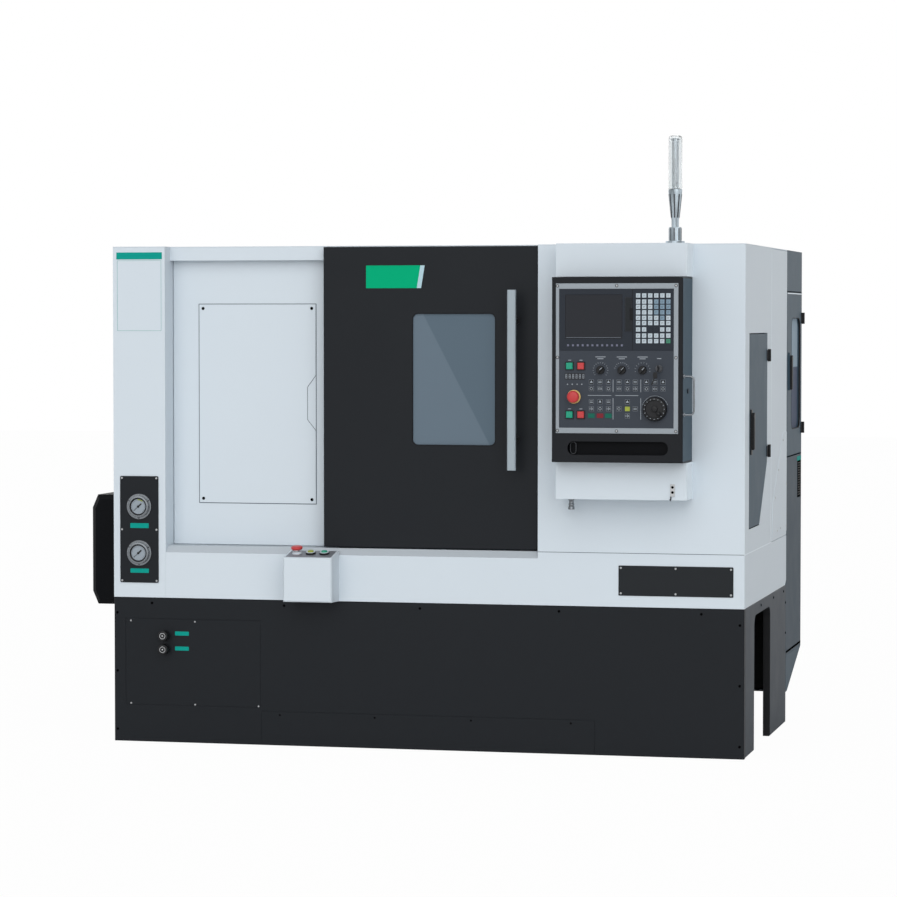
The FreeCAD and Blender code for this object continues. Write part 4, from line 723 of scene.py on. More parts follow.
class LATHE_OT_finishes(bpy.types.Operator):
    """Makes the effect groups and every finish of the lathe"""

    bl_idname = "lathe.finishes"
    bl_label = "Finishes"

    def execute(self, context):
        tints = context.scene.lathe_colours
        powder_coat()
        brushed()
        sheet = {"Grain": 520.0, "Tone": 0.04, "Shine": 0.5, "Drift": 0.1}
        plain = {**sheet, "Shine": 0.6}
        textured = {"Grain": 900.0, "Tone": 0.1, "Shine": 0.46, "Drift": 0.1}
        moulded = {"Grain": 1500.0, "Tone": 0.06, "Shine": 0.42, "Drift": 0.08}
        matt = {**moulded, "Shine": 0.65}
        gloss = {**moulded, "Shine": 0.3}
        for name, tint, values, bump, shine in (
            ("white sheet", tints.white, sheet, 0.12, 0.3),
            # Painted highlight on folds and on the pod's side.
            ("painted highlight", tints.painted_highlight, sheet, 0.1, 0.3),
            ("sill sheet", tints.sill, plain, 0.1, 0.2),
            # Painted shade in the seams between covers.
            ("seam", tints.seam, plain, 0.1, 0.1),
            ("black sheet", tints.black, textured, 0.25, 0.2),
            ("console paint", tints.console, textured, 0.25, 0.2),
            # Painted light: a paler copy of the black sheet for the base's right side.
            ("base side sheet with painted light", tints.base_side, textured, 0.25, 0.15),
            # Grey sheet, also painted light on the console's right side.
            ("grey sheet and painted light", tints.grey, textured, 0.25, 0.09),
            # Painted shade: a darker copy of the grey sheet.
            ("shaded lower sheet", tints.shaded_grey, textured, 0.25, 0.09),
            # Hood paint, also painted shade in the console's pocket.
            ("hood paint and pocket shade", tints.hood, textured, 0.25, 0.08),
            # Black screws, and painted shade in the cabinet's seams.
            ("black screw and painted shade", tints.screw_black_and_seam_shade, {"Shine": 0.5}, 0.05, 0.0),
            ("black plastic and painted shade", tints.plastic, moulded, 0.12, 0.3),
            ("rubber", tints.plastic, matt, 0.2, 0.2),
            ("display plastic", tints.display, moulded, 0.12, 0.2),
            ("key field", tints.key_field, moulded, 0.12, 0.2),
            ("panel film", tints.film, moulded, 0.06, 0.2),
            ("key film", tints.key_film, moulded, 0.06, 0.2),
            ("soft key", tints.soft_key, matt, 0.05, 0.2),
            ("light key", tints.light_key, moulded, 0.05, 0.3),
            ("blue key", tints.blue_key, moulded, 0.05, 0.3),
            ("enter key", tints.enter_key, moulded, 0.05, 0.3),
            ("dim red", tints.dim_red, matt, 0.05, 0.2),
            ("dim green", tints.dim_green, matt, 0.05, 0.2),
            ("red plastic", tints.red, gloss, 0.04, 0.3),
            ("green plastic", tints.green, gloss, 0.04, 0.3),
            ("lime plastic", tints.lime, gloss, 0.04, 0.3),
            ("yellow plastic", tints.yellow, gloss, 0.04, 0.3),
            ("teal label", tints.teal, matt, 0.03, 0.1),
            ("green plate", tints.green_plate, matt, 0.03, 0.05),
            ("name plate", tints.name_plate, moulded, 0.06, 0.2),
            ("pale stripe", tints.stripe, matt, 0.03, 0.1),
            ("placard", tints.white, {**matt, "Tone": 0.02}, 0.03, 0.2),
            ("dial", tints.dial, matt, 0.02, 0.2),
            # White print, and the handwheel's painted highlights.
            ("white print and painted highlights", tints.print_and_highlight_white, matt, 0.03, 0.2),
            ("key sign", tints.icon, matt, 0.03, 0.2),
            ("key outline", tints.outline, matt, 0.03, 0.2),
            ("screen", tints.display, gloss, 0.02, 0.1),
        ):
            coated(name, tint, values, bump, specular_ior_level=shine)
        satin = {"Along Z": 0.02, "Tone": 0.08, "Shine": 0.5, "Drift": 0.12}
        # Strong streaks along the axis: painted reflections on the lamp's steel.
        reflection_streaks = {"Along X": 0.06, "Along Y": 0.06, "Along Z": 0.002}
        reflection_streaks.update({"Tone": 3.0, "Shine": 0.3, "Drift": 0.1})
        spun = {"Along X": 1.0, "Along Y": 0.05, "Along Z": 0.05}
        spun.update({"Tone": 0.14, "Shine": 0.28, "Drift": 0.16})
        rolled = {"Along X": 0.04, "Along Y": 0.04, "Along Z": 1.0}
        rolled.update({"Tone": 0.1, "Shine": 0.36, "Drift": 0.14})
        for name, tint, values, bump, metal in (
            ("grip paint", tints.grip, satin, 0.05, 0.3),
            ("satin aluminium", tints.aluminium, satin, 0.08, 0.6),
            ("button plate", tints.button_plate, satin, 0.05, 0.4),
            ("lamp steel with painted reflections", tints.lamp_steel_painted_reflections, reflection_streaks, 0.03, 0.5),
            ("turned steel", tints.steel, spun, 0.1, 1.0),
            ("dark steel and painted reflections", tints.dark_steel, {"Shine": 0.38}, 0.1, 1.0),
            ("stainless sheet", tints.steel, rolled, 0.06, 0.95),
        ):
            coated(name, tint, values, bump, "brushed", metallic=metal)
        plated = {"Shine": 0.12, "Tone": 0.03, "Drift": 0.06}
        for name, tint, values, bump, metal in (
            ("gauge metal", tints.gauge_metal, {"Shine": 0.25}, 0.03, 0.8),
            ("chrome", tints.chrome, plated, 0.02, 1.0),
            ("screw steel", tints.steel, {**plated, "Shine": 0.4}, 0.02, 0.5),
        ):
            coated(name, tint, values, bump, metallic=metal)
        cast = {"Grain": 160.0, "Tone": 0.14, "Shine": 0.55, "Drift": 0.15}
        coated("casting paint", tints.casting, cast, 0.4, depth=0.0006)
        coated("motor paint", tints.motor, cast, 0.3, depth=0.0004)
        clear = {"Shine": 0.06, "Drift": 0.04, "Tone": 0.02}
        coated("clear plastic", (0.93, 0.96, 0.97), clear, 0.02, transmission_weight=0.9)
        # Painted reflections: each window's two tones stand for what its glass reflects.
        reflection_tones = (tints.window_reflection_low, tints.window_reflection_high)
        window_with_painted_reflection("door window with painted reflection", *reflection_tones, at(1212, 0, 1262), (0.886, 0, 0.463))
        reflection_tones = (tints.cabinet_reflection_low, tints.cabinet_reflection_high)
        window_with_painted_reflection("cabinet window with painted reflection", *reflection_tones, at(2190, 1315, 1290), (0, 0, 1), 0.6, 0.05)
        return {"FINISHED"}


class LATHE_OT_covers(bpy.types.Operator):
    """Finishes the white and black sheet covers and makes the painted shade and painted highlights
    along the seams between them
    """

    bl_idname = "lathe.covers"
    bl_label = "Covers"

    def execute(self, context):
        white = ("left_cover", "headstock_cover", "right_rear_cover", "roof_cover", "apron_cover")
        for node in white:
            dressed(node, "white sheet")
        # Painted shade: the rear cover's inside faces are painted black, where the inside of the
        # machine lies in shade.
        inner = ("black plastic and painted shade", (5, 1050, 3), (2195, 1060.6, 1712))
        dressed("rear_cover", "white sheet", areas=[inner])
        # Painted light: the pod's right side takes the painted highlight, lighter than the white
        # sheet round it.
        lit_pod_side = ("painted highlight", (2024, -128, 868), (2026, 1, 1717))
        hinges = hinge_areas(SIDE_HINGES, (545, 610), -1)
        dressed("right_front_cover", "white sheet", areas=[lit_pod_side, *hinges])
        for node in ("base_front_cover", "base_left_cover"):
            dressed(node, "black sheet")
        # Painted shade: the right skirt's inside faces, seen through its mouth, are painted black.
        inner = ("black plastic and painted shade", (2100, 3, -1), (2199, 1059, 500))
        # The right skirt takes the paler copy of the black sheet, which is painted light.
        dressed("base_right_cover", "base side sheet with painted light", areas=[inner])
        dressed("motor_cover", "hood paint and pocket shade")
        sill = ("sill sheet", (185, -5, 655), (1500, 95, 686))
        dressed("door_rails", "white sheet", 0.4, [sill])
        # Painted shade: a dark frame round the headstock panel and dark strips along its notch,
        # where the gaps lie in shade.
        seam = open_frame((281.5, 704.5), (89.3, 91), (828.5, 1519.5), Y, 1.5, 2.4)
        deep = (SERVICE_PANEL + 0.4, SERVICE_PANEL + 2.2)
        notch = [
            block((686.7, 688.3), deep, (1229, 1277), 0, (0, math.radians(36.6), 0)),
            block((686.7, 688.3), deep, (1076, 1126), 0, (0, math.radians(-38.7), 0)),
            block((672, 673), deep, (1120, 1233), 0),
        ]
        seam = painted(joined(seam, *notch), "seam")
        seat(seam, "headstock_panel_seam", "machine", "white_paint")
        # Painted shade and highlight at the cover seams: a dark line under the fold at the front,
        # and painted highlight lines along the right side's fold and upright seam.
        front = painted(block((1497, 2199), (-0.3, 0.6), (683.2, 685), 0), "seam")
        proud = beside(-0.6, 0.4)
        side = painted(block(proud, (2, 660), (682.6, 686), 0), "painted highlight")
        upright_highlight = painted(block(proud, (643.6, 646.4), (690, 1700), 0), "painted highlight")
        seat(joined(front, side, upright_highlight), "cover_seams", "machine", "white_paint")
        return {"FINISHED"}


class LATHE_OT_cover_screws(bpy.types.Operator):
    """Sets the screws of the base, the headstock panel and the service plate"""

    bl_idname = "lathe.cover_screws"
    bl_label = "Cover screws"

    def execute(self, context):
        radius = context.scene.lathe_sizes.screw / MM
        base = [(x, 0, z) for x in (12, 2185) for z in (450, 248, 45)]
        base += [(x, 0, 485) for x in (138, 613, 1092, 1573, 2056)]
        strip = [(x, 0, 108) for x in (597, 933, 1270, 1614)]
        hatch = [(x, 0, z) for x in (61, 293) for z in (423, 136)] + [(521, 0, 136)]
        panel = [(x, SERVICE_PANEL, z) for x in (298, 688) for z in (845, 1503)]
        spots = [(949, 1032), (830, 931), (1044, 870), (739, 836)]
        spots += [(796, 716), (890, 720), (1044, 720)]
        service = [(RIGHT + 1.5, y, z) for y, z in spots]
        side = [(RIGHT, y, 485) for y in (400, 720, 990)]
        side += [(RIGHT, 1045, z) for z in (440, 330)]
        for name, slot, facing, places, share, paint in (
            ("base_screws", "base_paint", "front", base, 0.95, "black screw and painted shade"),
            ("strip_screws", "base_paint", "front", strip, 0.7, "black screw and painted shade"),
            ("hatch_screws", "steel", "front", hatch, 0.7, "screw steel"),
            ("headstock_panel_screws", "steel", "front", panel, 1.2, "black screw and painted shade"),
            ("service_plate_screws", "steel", "right", service, 0.9, "screw steel"),
            ("base_side_screws", "base_paint", "right", side, 1.0, "black screw and painted shade"),
        ):
            screws(name, "machine", slot, facing, places, radius * share, paint)
        return {"FINISHED"}


class LATHE_OT_plates(bpy.types.Operator):
    """Makes the name plate, the placard, the door's green plate and the small teal labels"""

    bl_idname = "lathe.plates"
    bl_label = "Plates and labels"

    def execute(self, context):
        name_plate = painted(plate((1776, 2163), (-2, 0), (542, 643), Y, 3, 0.5), "name plate")
        seat(name_plate, "name_plate", "machine", "black_plastic")
        spots = [(x, -2, z) for x in (1784, 1969, 2155) for z in (550, 635)]
        screws("name_plate_screws", "machine", "steel", "front", spots, 3.6, "screw steel")
        sheet = painted(plate((12, 179), (-0.8, 0), (1422, 1697), Y, 1, 0.2), "placard")
        heading = plate((13, 178), (-1.1, -0.5), (1672, 1696), Y, 1, 0.2)
        rule = open_frame((16, 175), (-1.0, -0.5), (1426, 1668), Y, 1, 0.8)
        teal = painted(joined(heading, rule), "teal label")
        seat(joined(sheet, teal), "front_placard", "machine", "white_paint")
        deep, high, slant = (23.4, 25), (1571, 1648), Vector((80, 0, -13))
        start, end = (1082, 0, 1610), (1097, 0, 1610)
        green = sliced(block((898, 1110), deep, high, 0), start, slant)
        stripe = sliced(block((1060, 1120), deep, high, 0), end, slant)
        stripe = sliced(stripe, start, -slant)
        green = painted(round_edges(green, 0.2 * MM), "green plate")
        stripe = painted(round_edges(stripe, 0.2 * MM), "pale stripe")
        seat(joined(green, stripe), "door_plate", "sliding_door", "green_plastic")
        for name, x, y, z, thin in (
            ("gauge_label_1", (61, 128), (-3.6, -3), (744, 761), Y),
            ("gauge_label_2", (61, 128), (-3.6, -3), (589, 604), Y),
            ("knob_label_1", (221, 271), (-0.8, 0), (374, 388), Y),
            ("knob_label_2", (221, 271), (-0.8, 0), (322, 336), Y),
            ("vent_label", beside(-0.4, 0.8), (1364, 1472), (941, 957), X),
        ):
            label = painted(plate(x, y, z, thin, 2, 0.2), "teal label")
            seat(label, name, "machine", "green_plastic")
        return {"FINISHED"}


class LATHE_OT_sliding_door(bpy.types.Operator):
    """Finishes the sliding door, its window with a gasket and its grip"""

    bl_idname = "lathe.sliding_door"
    bl_label = "Sliding door"

    def execute(self, context):
        border = context.scene.lathe_sizes.gasket / MM
        dressed("sliding_door", "black sheet")
        dressed("door_window", "door window with painted reflection", 0.6)
        wide, high = (1061 - border, 1347 + border), (1040 - border, 1484 + border)
        gasket = open_frame(wide, (24.2, 31), high, Y, 18 + border, border)
        gasket = painted(round_edges(gasket, 0.4 * MM), "rubber")
        seat(gasket, "window_gasket", "sliding_door", "belt_rubber")
        behind = ("black plastic and painted shade", (1390, -37.5, 950), (1450, 26, 1570))
        dressed("door_handle", "grip paint", 1.0, [behind])
        return {"FINISHED"}


class LATHE_OT_side_doors(bpy.types.Operator):
    """Finishes the side door and the cabinet with their locks, hinges, window and vent"""

    bl_idname = "lathe.side_doors"
    bl_label = "Side door and cabinet"

    def execute(self, context):
        lock = ("black plastic and painted shade", (RIGHT + 0.5, 118, 1011), (RIGHT + 6, 150, 1164))
        leaves = hinge_areas(SIDE_HINGES, (520, 550), 0.5, 6, 0)
        dressed("side_door", "grey sheet and painted light", areas=[lock, *leaves])
        dressed("side_door_lever", "black plastic and painted shade", 0.8)
        # Painted shade: the cabinet's lower sheet takes the darker copy of the grey sheet.
        shaded_lower_sheet = ("shaded lower sheet", (RIGHT - 1, 1064, 250), (RIGHT + 1, 1490, 963))
        knuckles = hinge_areas(CABINET_HINGES, (1480, 1495))
        dressed("electrical_cabinet", "grey sheet and painted light", areas=[shaded_lower_sheet, *knuckles])
        leaves = hinge_areas(CABINET_HINGES, (1460, 1482), 0.5, 6, 0)
        # The window's well takes the window finish with the painted reflection.
        well = ("cabinet window with painted reflection", (RIGHT - 15, 1192, 1067), (RIGHT - 9, 1438, 1467))
        dressed("cabinet_door", "grey sheet and painted light", areas=[*leaves, well])
        dressed("cabinet_door_lever", "black plastic and painted shade", 0.8)
        deep = beside(-6, 0.6)
        rim = open_frame(deep, (1187.5, 1442.5), (1062.5, 1471.5), X, 43, 2.6, 10)
        rim = painted(round_edges(rim, 0.6 * MM), "rubber")
        seat(rim, "cabinet_window_rim", "cabinet_door", "belt_rubber")
        # Painted shade: black strips in the cabinet's seams and along its bottom edge, and a black
        # plate behind the vent's slats.
        seam = block(beside(-0.6, 0.4), CABINET_DOOR, (964.6, 966), 0)
        seams = repeated(seam, (0, 0, 602))
        slot = block(beside(-0.6, 0.6), (1066, 1484), (253, 261), 0)
        vent_shade_plate = plate(beside(-0.5, 0.5), (1372, 1474), (804, 942), X, 4, 0.2)
        seams = painted(joined(slot, seams, vent_shade_plate), "black screw and painted shade")
        seat(seams, "cabinet_seams", "machine", "black_plastic")
        # Painted highlight: a near-white strip under the cabinet's upper seam, where the fold
        # catches light.
        highlight_lip = block(beside(0, 2.6), CABINET_DOOR, (1558, 1562), 0)
        seat(painted(highlight_lip, "painted highlight"), "cabinet_door_lip", "cabinet_door", "white_paint")
        tilt = (0, math.radians(25), 0)
        slat = block(beside(-4, 1.6), (1376, 1470), (813, 817), 0.8, tilt)
        slats = repeated(slat, *[(0, 0, 9 * i) for i in range(1, 14)])
        seat(painted(slats, "hood paint and pocket shade"), "vent_slats", "machine", "black_plastic")
        return {"FINISHED"}


class LATHE_OT_gauges(bpy.types.Operator):
    """Makes the gauge plate with its two pressure gauges"""

    bl_idname = "lathe.gauges"
    bl_label = "Pressure gauges"

    def execute(self, context):
        flange = [(2.5, 44), (6.4, 44), (7, 43.2), (7, 37.6), (7.6, 37), (16.6, 37), (17.8, 35.8)]
        bezel = [(18, 34.6), (18, 31.2), (17.2, 30.4), (12.4, 30.2)]
        wall = [(12.6, 30.3), (16.9, 30.3), (17, 29.8), (13.4, 26)]
        panel = plate((24, 163), (-3, 0), (555, 924), Y, 5, 0.6)
        parts = [painted(panel, "black sheet")]
        for z, green in ((819, True), (658, False)):
            centre = (GAUGE_MIDDLE, 0, z)
            for profile, sides, paint in (
                (flange + bezel, 56, "gauge metal"),
                (wall, 48, "black plastic and painted shade"),
                ([(12.6, 25.8), (13.8, 25.6)], 48, "dial"),
            ):
                parts.append(painted(turned("front", centre, profile, sides), paint))
            tick = ray(GAUGE_MIDDLE, z, 135, 21, 24.4, 0.7, (-14.1, -13.7))
            parts.append(painted(around(tick, 24, 270, centre), "black plastic and painted shade"))
            if green:
                arc = ray(GAUGE_MIDDLE, z, 38, 22, 25, 2.2, (-14.2, -13.8))
                parts.append(painted(around(arc, 9, 40, centre), "lime plastic"))
            needle = ray(GAUGE_MIDDLE, z, -132, -4, 21, 1.5, (-15.4, -14.8))
            tail = ray(GAUGE_MIDDLE, z, 48, 2, 15, 4.4, (-15.4, -14.8))
            hub = turned("front", centre, [(13.6, 4), (16, 4), (16.4, 3)], 20)
            parts += [painted(piece, "black plastic and painted shade") for piece in (needle, tail, hub)]
            turn, reach = math.radians(60), 40.4
            first = (GAUGE_MIDDLE + reach * math.sin(turn), 0, z + reach * math.cos(turn))
            lobe = turned("front", first, [(6, 2.6), (7.8, 2.6), (8.6, 1.8)], 12)
            parts.append(around(painted(lobe, "dark steel and painted reflections"), 2, 240, centre))
        seat(joined(*parts), "gauge_plate", "machine", "black_paint", "gauge_panel")
        spots = [(x, -3, z) for x in (31, 156) for z in (562, 739, 917)]
        screws("gauge_plate_screws", "machine", "steel", "front", spots, 3.6, "screw steel")
        return {"FINISHED"}


class LATHE_OT_pressure_knobs(bpy.types.Operator):
    """Makes the two knurled pressure knobs"""

    bl_idname = "lathe.pressure_knobs"
    bl_label = "Pressure knobs"

    def execute(self, context):
        rings = [(0.8, 13), (4, 15), (8, 17.2), (33, 17.2), (34, 16.4), (34, 9)]
        for name, z in (("upper_pressure_knob", 374), ("lower_pressure_knob", 327)):
            centre = (186, 0, z)
            knob = turned("front", centre, rings, 40, 0.4)
            rib = turned("front", (186, 0, z + 17), [(9, 0.9), (32, 0.9), (32.6, 0.5)], 8)
            ribs = around(rib, 28, 360, centre)
            stem = turned("front", centre, [(-19, 6), (3, 6)], 20)
            whole = painted(joined(knob, ribs, stem), "black plastic and painted shade")
            high = span(z, 10.5)
            ring = smooth(open_frame((175.5, 196.5), (-34.6, -33), high, Y, 10.4, 1.6), 40)
            pin = turned("front", centre, [(33, 2.6), (34.5, 2.6), (34.8, 1.6)], 16)
            whole = joined(whole, painted(ring, "screw steel"), painted(pin, "screw steel"))
            seat(whole, name + "_turned", name, "black_plastic", name)
        return {"FINISHED"}


class LATHE_OT_start_box(bpy.types.Operator):
    """Finishes the small box on the apron and makes its three buttons"""

    bl_idname = "lathe.start_box"
    bl_label = "Start box"

    def execute(self, context):
        depth = 52 * math.cos(SLOPE) - 100
        height = 657 + 52 * math.sin(SLOPE)
        dressed("start_box", "white sheet")
        deep, high = span(depth, 41), (height + 0.1, height + 0.9)
        top = block((644, 802), deep, high, 0.2, (SLOPE, 0, 0))
        seat(painted(top, "button plate"), "start_box_panel", "machine", "display_plastic")
        button = [(-15, 10.6), (11, 10.6), (12.6, 9.6), (13, 8), (12.4, 5), (12.2, 1)]
        well = [(0, 17), (6, 17), (7.6, 16), (7.6, 12.4), (3, 12.2)]
        foot = [(0, 17), (1.6, 17), (2.4, 16), (3, 13.6), (5, 12.6), (5, 11.2)]
        for x, profile, paint, slot in (
            (722, well, "black plastic and painted shade", "black_plastic"),
            (770, well, "black plastic and painted shade", "black_plastic"),
            (674, foot, "chrome", "chrome"),
        ):
            collar = painted(turned("slope", (x, depth, height), profile, 32), paint)
            seat(collar, "start_box_collar_%d" % x, "machine", slot)
        neck = [(-15, 10.5), (5, 10.5), (6, 9), (16, 9)]
        neck = painted(turned("slope", (674, depth, height), neck, 32), "chrome")
        cap = [(15, 13), (16, 17), (20, 19.6), (24, 19.6), (26.4, 17.5), (27.6, 13)]
        cap += [(28, 6), (28.1, 1)]
        cap = painted(turned("slope", (674, depth, height), cap, 40, degrees=50), "red plastic")
        stop = joined(cap, neck)
        seat(stop, "start_box_mushroom", "start_box_stop", "red_plastic", "start_box_stop")
        for x, name, paint, slot in (
            (722, "start_box_reset", "lime plastic", "yellow_plastic"),
            (770, "start_box_start", "green plastic", "green_plastic"),
        ):
            pressed = turned("slope", (x, depth, height), button, 32, degrees=40)
            seat(painted(pressed, paint), name + "_cap", name, slot, name)
        return {"FINISHED"}


class LATHE_OT_lamp(bpy.types.Operator):
    """Makes the signal lamp on the roof"""

    bl_idname = "lathe.lamp"
    bl_label = "Signal lamp"

    def execute(self, context):
        centre = (1958, 40, ROOF)
        profile = [(0, 32), (8.6, 32), (9.6, 31), (10, 22), (11, 21), (54, 21), (56, 19.5)]
        profile += [(56, 12.5), (79, 12.5), (84, 13.4), (168, 22.2), (172, 22.9), (181, 22.9)]
        profile += [(182, 21), (182, 11), (345, 11), (346, 15), (350, 15), (352, 12)]
        # Painted reflection: the stem takes the streaky lamp steel.
        stem = painted(turned("up", centre, profile, 48), "lamp steel with painted reflections")
        shell = [(182, 22.6), (352, 22.6), (356.6, 21), (359.4, 17), (360, 10), (360, 1)]
        inner = [(356, 1), (355.6, 12), (353, 17.4), (349, 19.8), (183, 20)]
        tube = turned("up", centre, shell + inner, 48, degrees=50)
        # Painted reflection: thin dark-steel strips round the flare and the post stand for dark
        # reflections on the bright steel.
        flare_reflection_streak = block((1955.6, 1960.4), (21.3, 22.3), (1803, 1882), 0.2, (math.radians(6), 0, 0))
        post_reflection_streak = block((1956, 1960), (18.4, 19.4), (1728, 1768), 0.2)
        reflection_bands = [
            around(painted(band, "dark steel and painted reflections"), 8, 360, centre, (0, 0, 1))
            for band in (flare_reflection_streak, post_reflection_streak)
        ]
        seat(joined(stem, *reflection_bands), "signal_lamp", "machine", "lamp_plastic", "tower_lamp")
        seat(painted(tube, "clear plastic"), "signal_lamp_tube", "machine", "lamp_plastic")
        return {"FINISHED"}


class LATHE_OT_console_case(bpy.types.Operator):
    """Finishes the console's box, frame and pocket and makes its grip"""

    bl_idname = "lathe.console_case"
    bl_label = "Console case"

    def execute(self, context):
        # Painted shade: the inside of the console's pocket takes the darker hood paint.
        dark = ("hood paint and pocket shade", (1639, -194, 1018), (1975, -90, 1066))
        # Painted light: the console's right side, in the same black paint as its front, takes the
        # lighter grey sheet.
        side = ("grey sheet and painted light", (2022, -194, 995), (2024, -2, 1605))
        dressed("console_box", "console paint", areas=[dark, side])
        corner = block((1587.1, 1597), (-194.9, -2), (995.1, 1005), 0.6)
        corners = repeated(corner, (425.8, 0, 0), (0, 0, 598.8), (425.8, 0, 598.8))
        seat(painted(corners, "console paint"), "console_corners", "console", "black_paint")
        dressed("console_bezel", "satin aluminium", 0.8)
        radius = context.scene.lathe_sizes.small_screw / MM
        spots = [(x, -198, z) for x in (1606.5, 2000.5) for z in (1099, 1340, 1575)]
        spots += [(1804, -198, z) for z in (1099, 1575)]
        screws("console_frame_screws", "console", "steel", "front", spots, radius, "screw steel")
        shade = painted(turned("front", spots[0], [(-0.5, 5.2), (0.25, 5.2)], 20), "black plastic and painted shade")
        seat(at_each(shade, spots), "console_screw_rings", "console", "black_plastic")
        liner = open_frame((1646, 1666), (-178, -172), (1022, 1062), Y, 9.4, 1.8)
        liner = smooth(painted(round_edges(liner, 0.5 * MM), "dark steel and painted reflections"), 40)
        seat(liner, "pocket_ring", "console", "chrome")
        route = [
            ("run", (20, 0, 0)),
            ("bend", 90, (2043, -180, 1167), (0, 1, 0)),
            ("run", (0, 0, 98)),
            ("bend", 90, (2043, -180, 1265), (0, 1, 0)),
            ("run", (-20, 0, 0)),
        ]
        grip = bent_rod((2023, -180, 1153), "right", 3.4, route)
        rose = turned("right", (2023, -180, 1153), [(0, 8), (2.4, 8), (3.4, 7), (3.4, 4)], 24)
        whole = painted(joined(grip, repeated(rose, (0, 0, 126))), "gauge metal")
        seat(whole, "console_grip", "console", "chrome", "console_handle")
        return {"FINISHED"}


def data_key_paint(column, row):
    if (column, row) == (5, 8):
        return "enter key"
    if row == 6 and column in (2, 3):
        return "key field"
    if column > 2 and 1 <= row <= 3 or (column, row) == (4, 4):
        return "blue key"
    return "light key"


class LATHE_OT_display(bpy.types.Operator):
    """Finishes the display unit with its screen, soft keys and data keys"""

    bl_idname = "lathe.display"
    bl_label = "Display unit"

    def execute(self, context):
        keys = [
            (x, z, data_key_paint(i, j))
            for i, x in enumerate(DATA_KEY_COLUMNS)
            for j, z in enumerate(DATA_KEY_ROWS)
        ]
        areas = [("key field", (1866, PANEL - 0.2, 1386), (1984, PANEL + 1, 1552))]
        for x, z, paint in keys:
            low, high = (x - 7.5, PANEL - 2.5, z - 7.5), (x + 7.5, PANEL - 0.2, z + 7.5)
            areas.append((paint, low, high))
        dressed("display_unit", "display plastic", 0.5, areas)
        field = plate((1857, 1991), ahead(0.3, -0.4), (1366, 1563), Y, 1, 0.2)
        seat(painted(field, "key field"), "data_key_field", "console", "display_plastic")
        screen = plate((1633, 1821), ahead(-0.4, -3), (1403, 1545), Y, 2, 0.3)
        line = block((1636, 1818), ahead(-0.1, -0.6), (1405, 1406), 0)
        screen = joined(painted(screen, "screen"), painted(line, "key outline"))
        seat(screen, "display_screen", "console", "display_plastic")
        cover = plate((1833.5, 1852.5), ahead(2.7, 2), (1427.5, 1535.5), Y, 1, 0.3)
        notch = plate((1847, 1857.6), ahead(3), (1462, 1502), Y, 2, 0.3)
        split = block((1855.4, 1856.8), ahead(0.5, -0.4), (1364, 1564), 0)
        cover = joined(painted(cover, "name plate"), painted(joined(notch, split), "rubber"))
        seat(cover, "card_cover", "console", "display_plastic")
        soft = block((1638.6, 1645.2), ahead(1.6), (1376.6, 1383.4), 0.5)
        soft = repeated(painted(soft, "soft key"), *[(16.3 * i, 0, 0) for i in range(1, 12)])
        seat(soft, "soft_keys", "console", "display_plastic")
        deep = ahead(2.15, 1.9)
        bars = [
            block(span(x, wide / 2), deep, span(z, 0.5), 0)
            for wide, x, z in ((6, 1875, 1544.5), (3.6, 1874, 1540.8))
        ]
        marks = painted(joined(*bars), "display plastic")
        marks = at_each(marks, [(x, 0, z) for x, z, paint in keys if paint != "key field"])
        seat(marks, "data_key_marks", "console", "display_plastic")
        return {"FINISHED"}


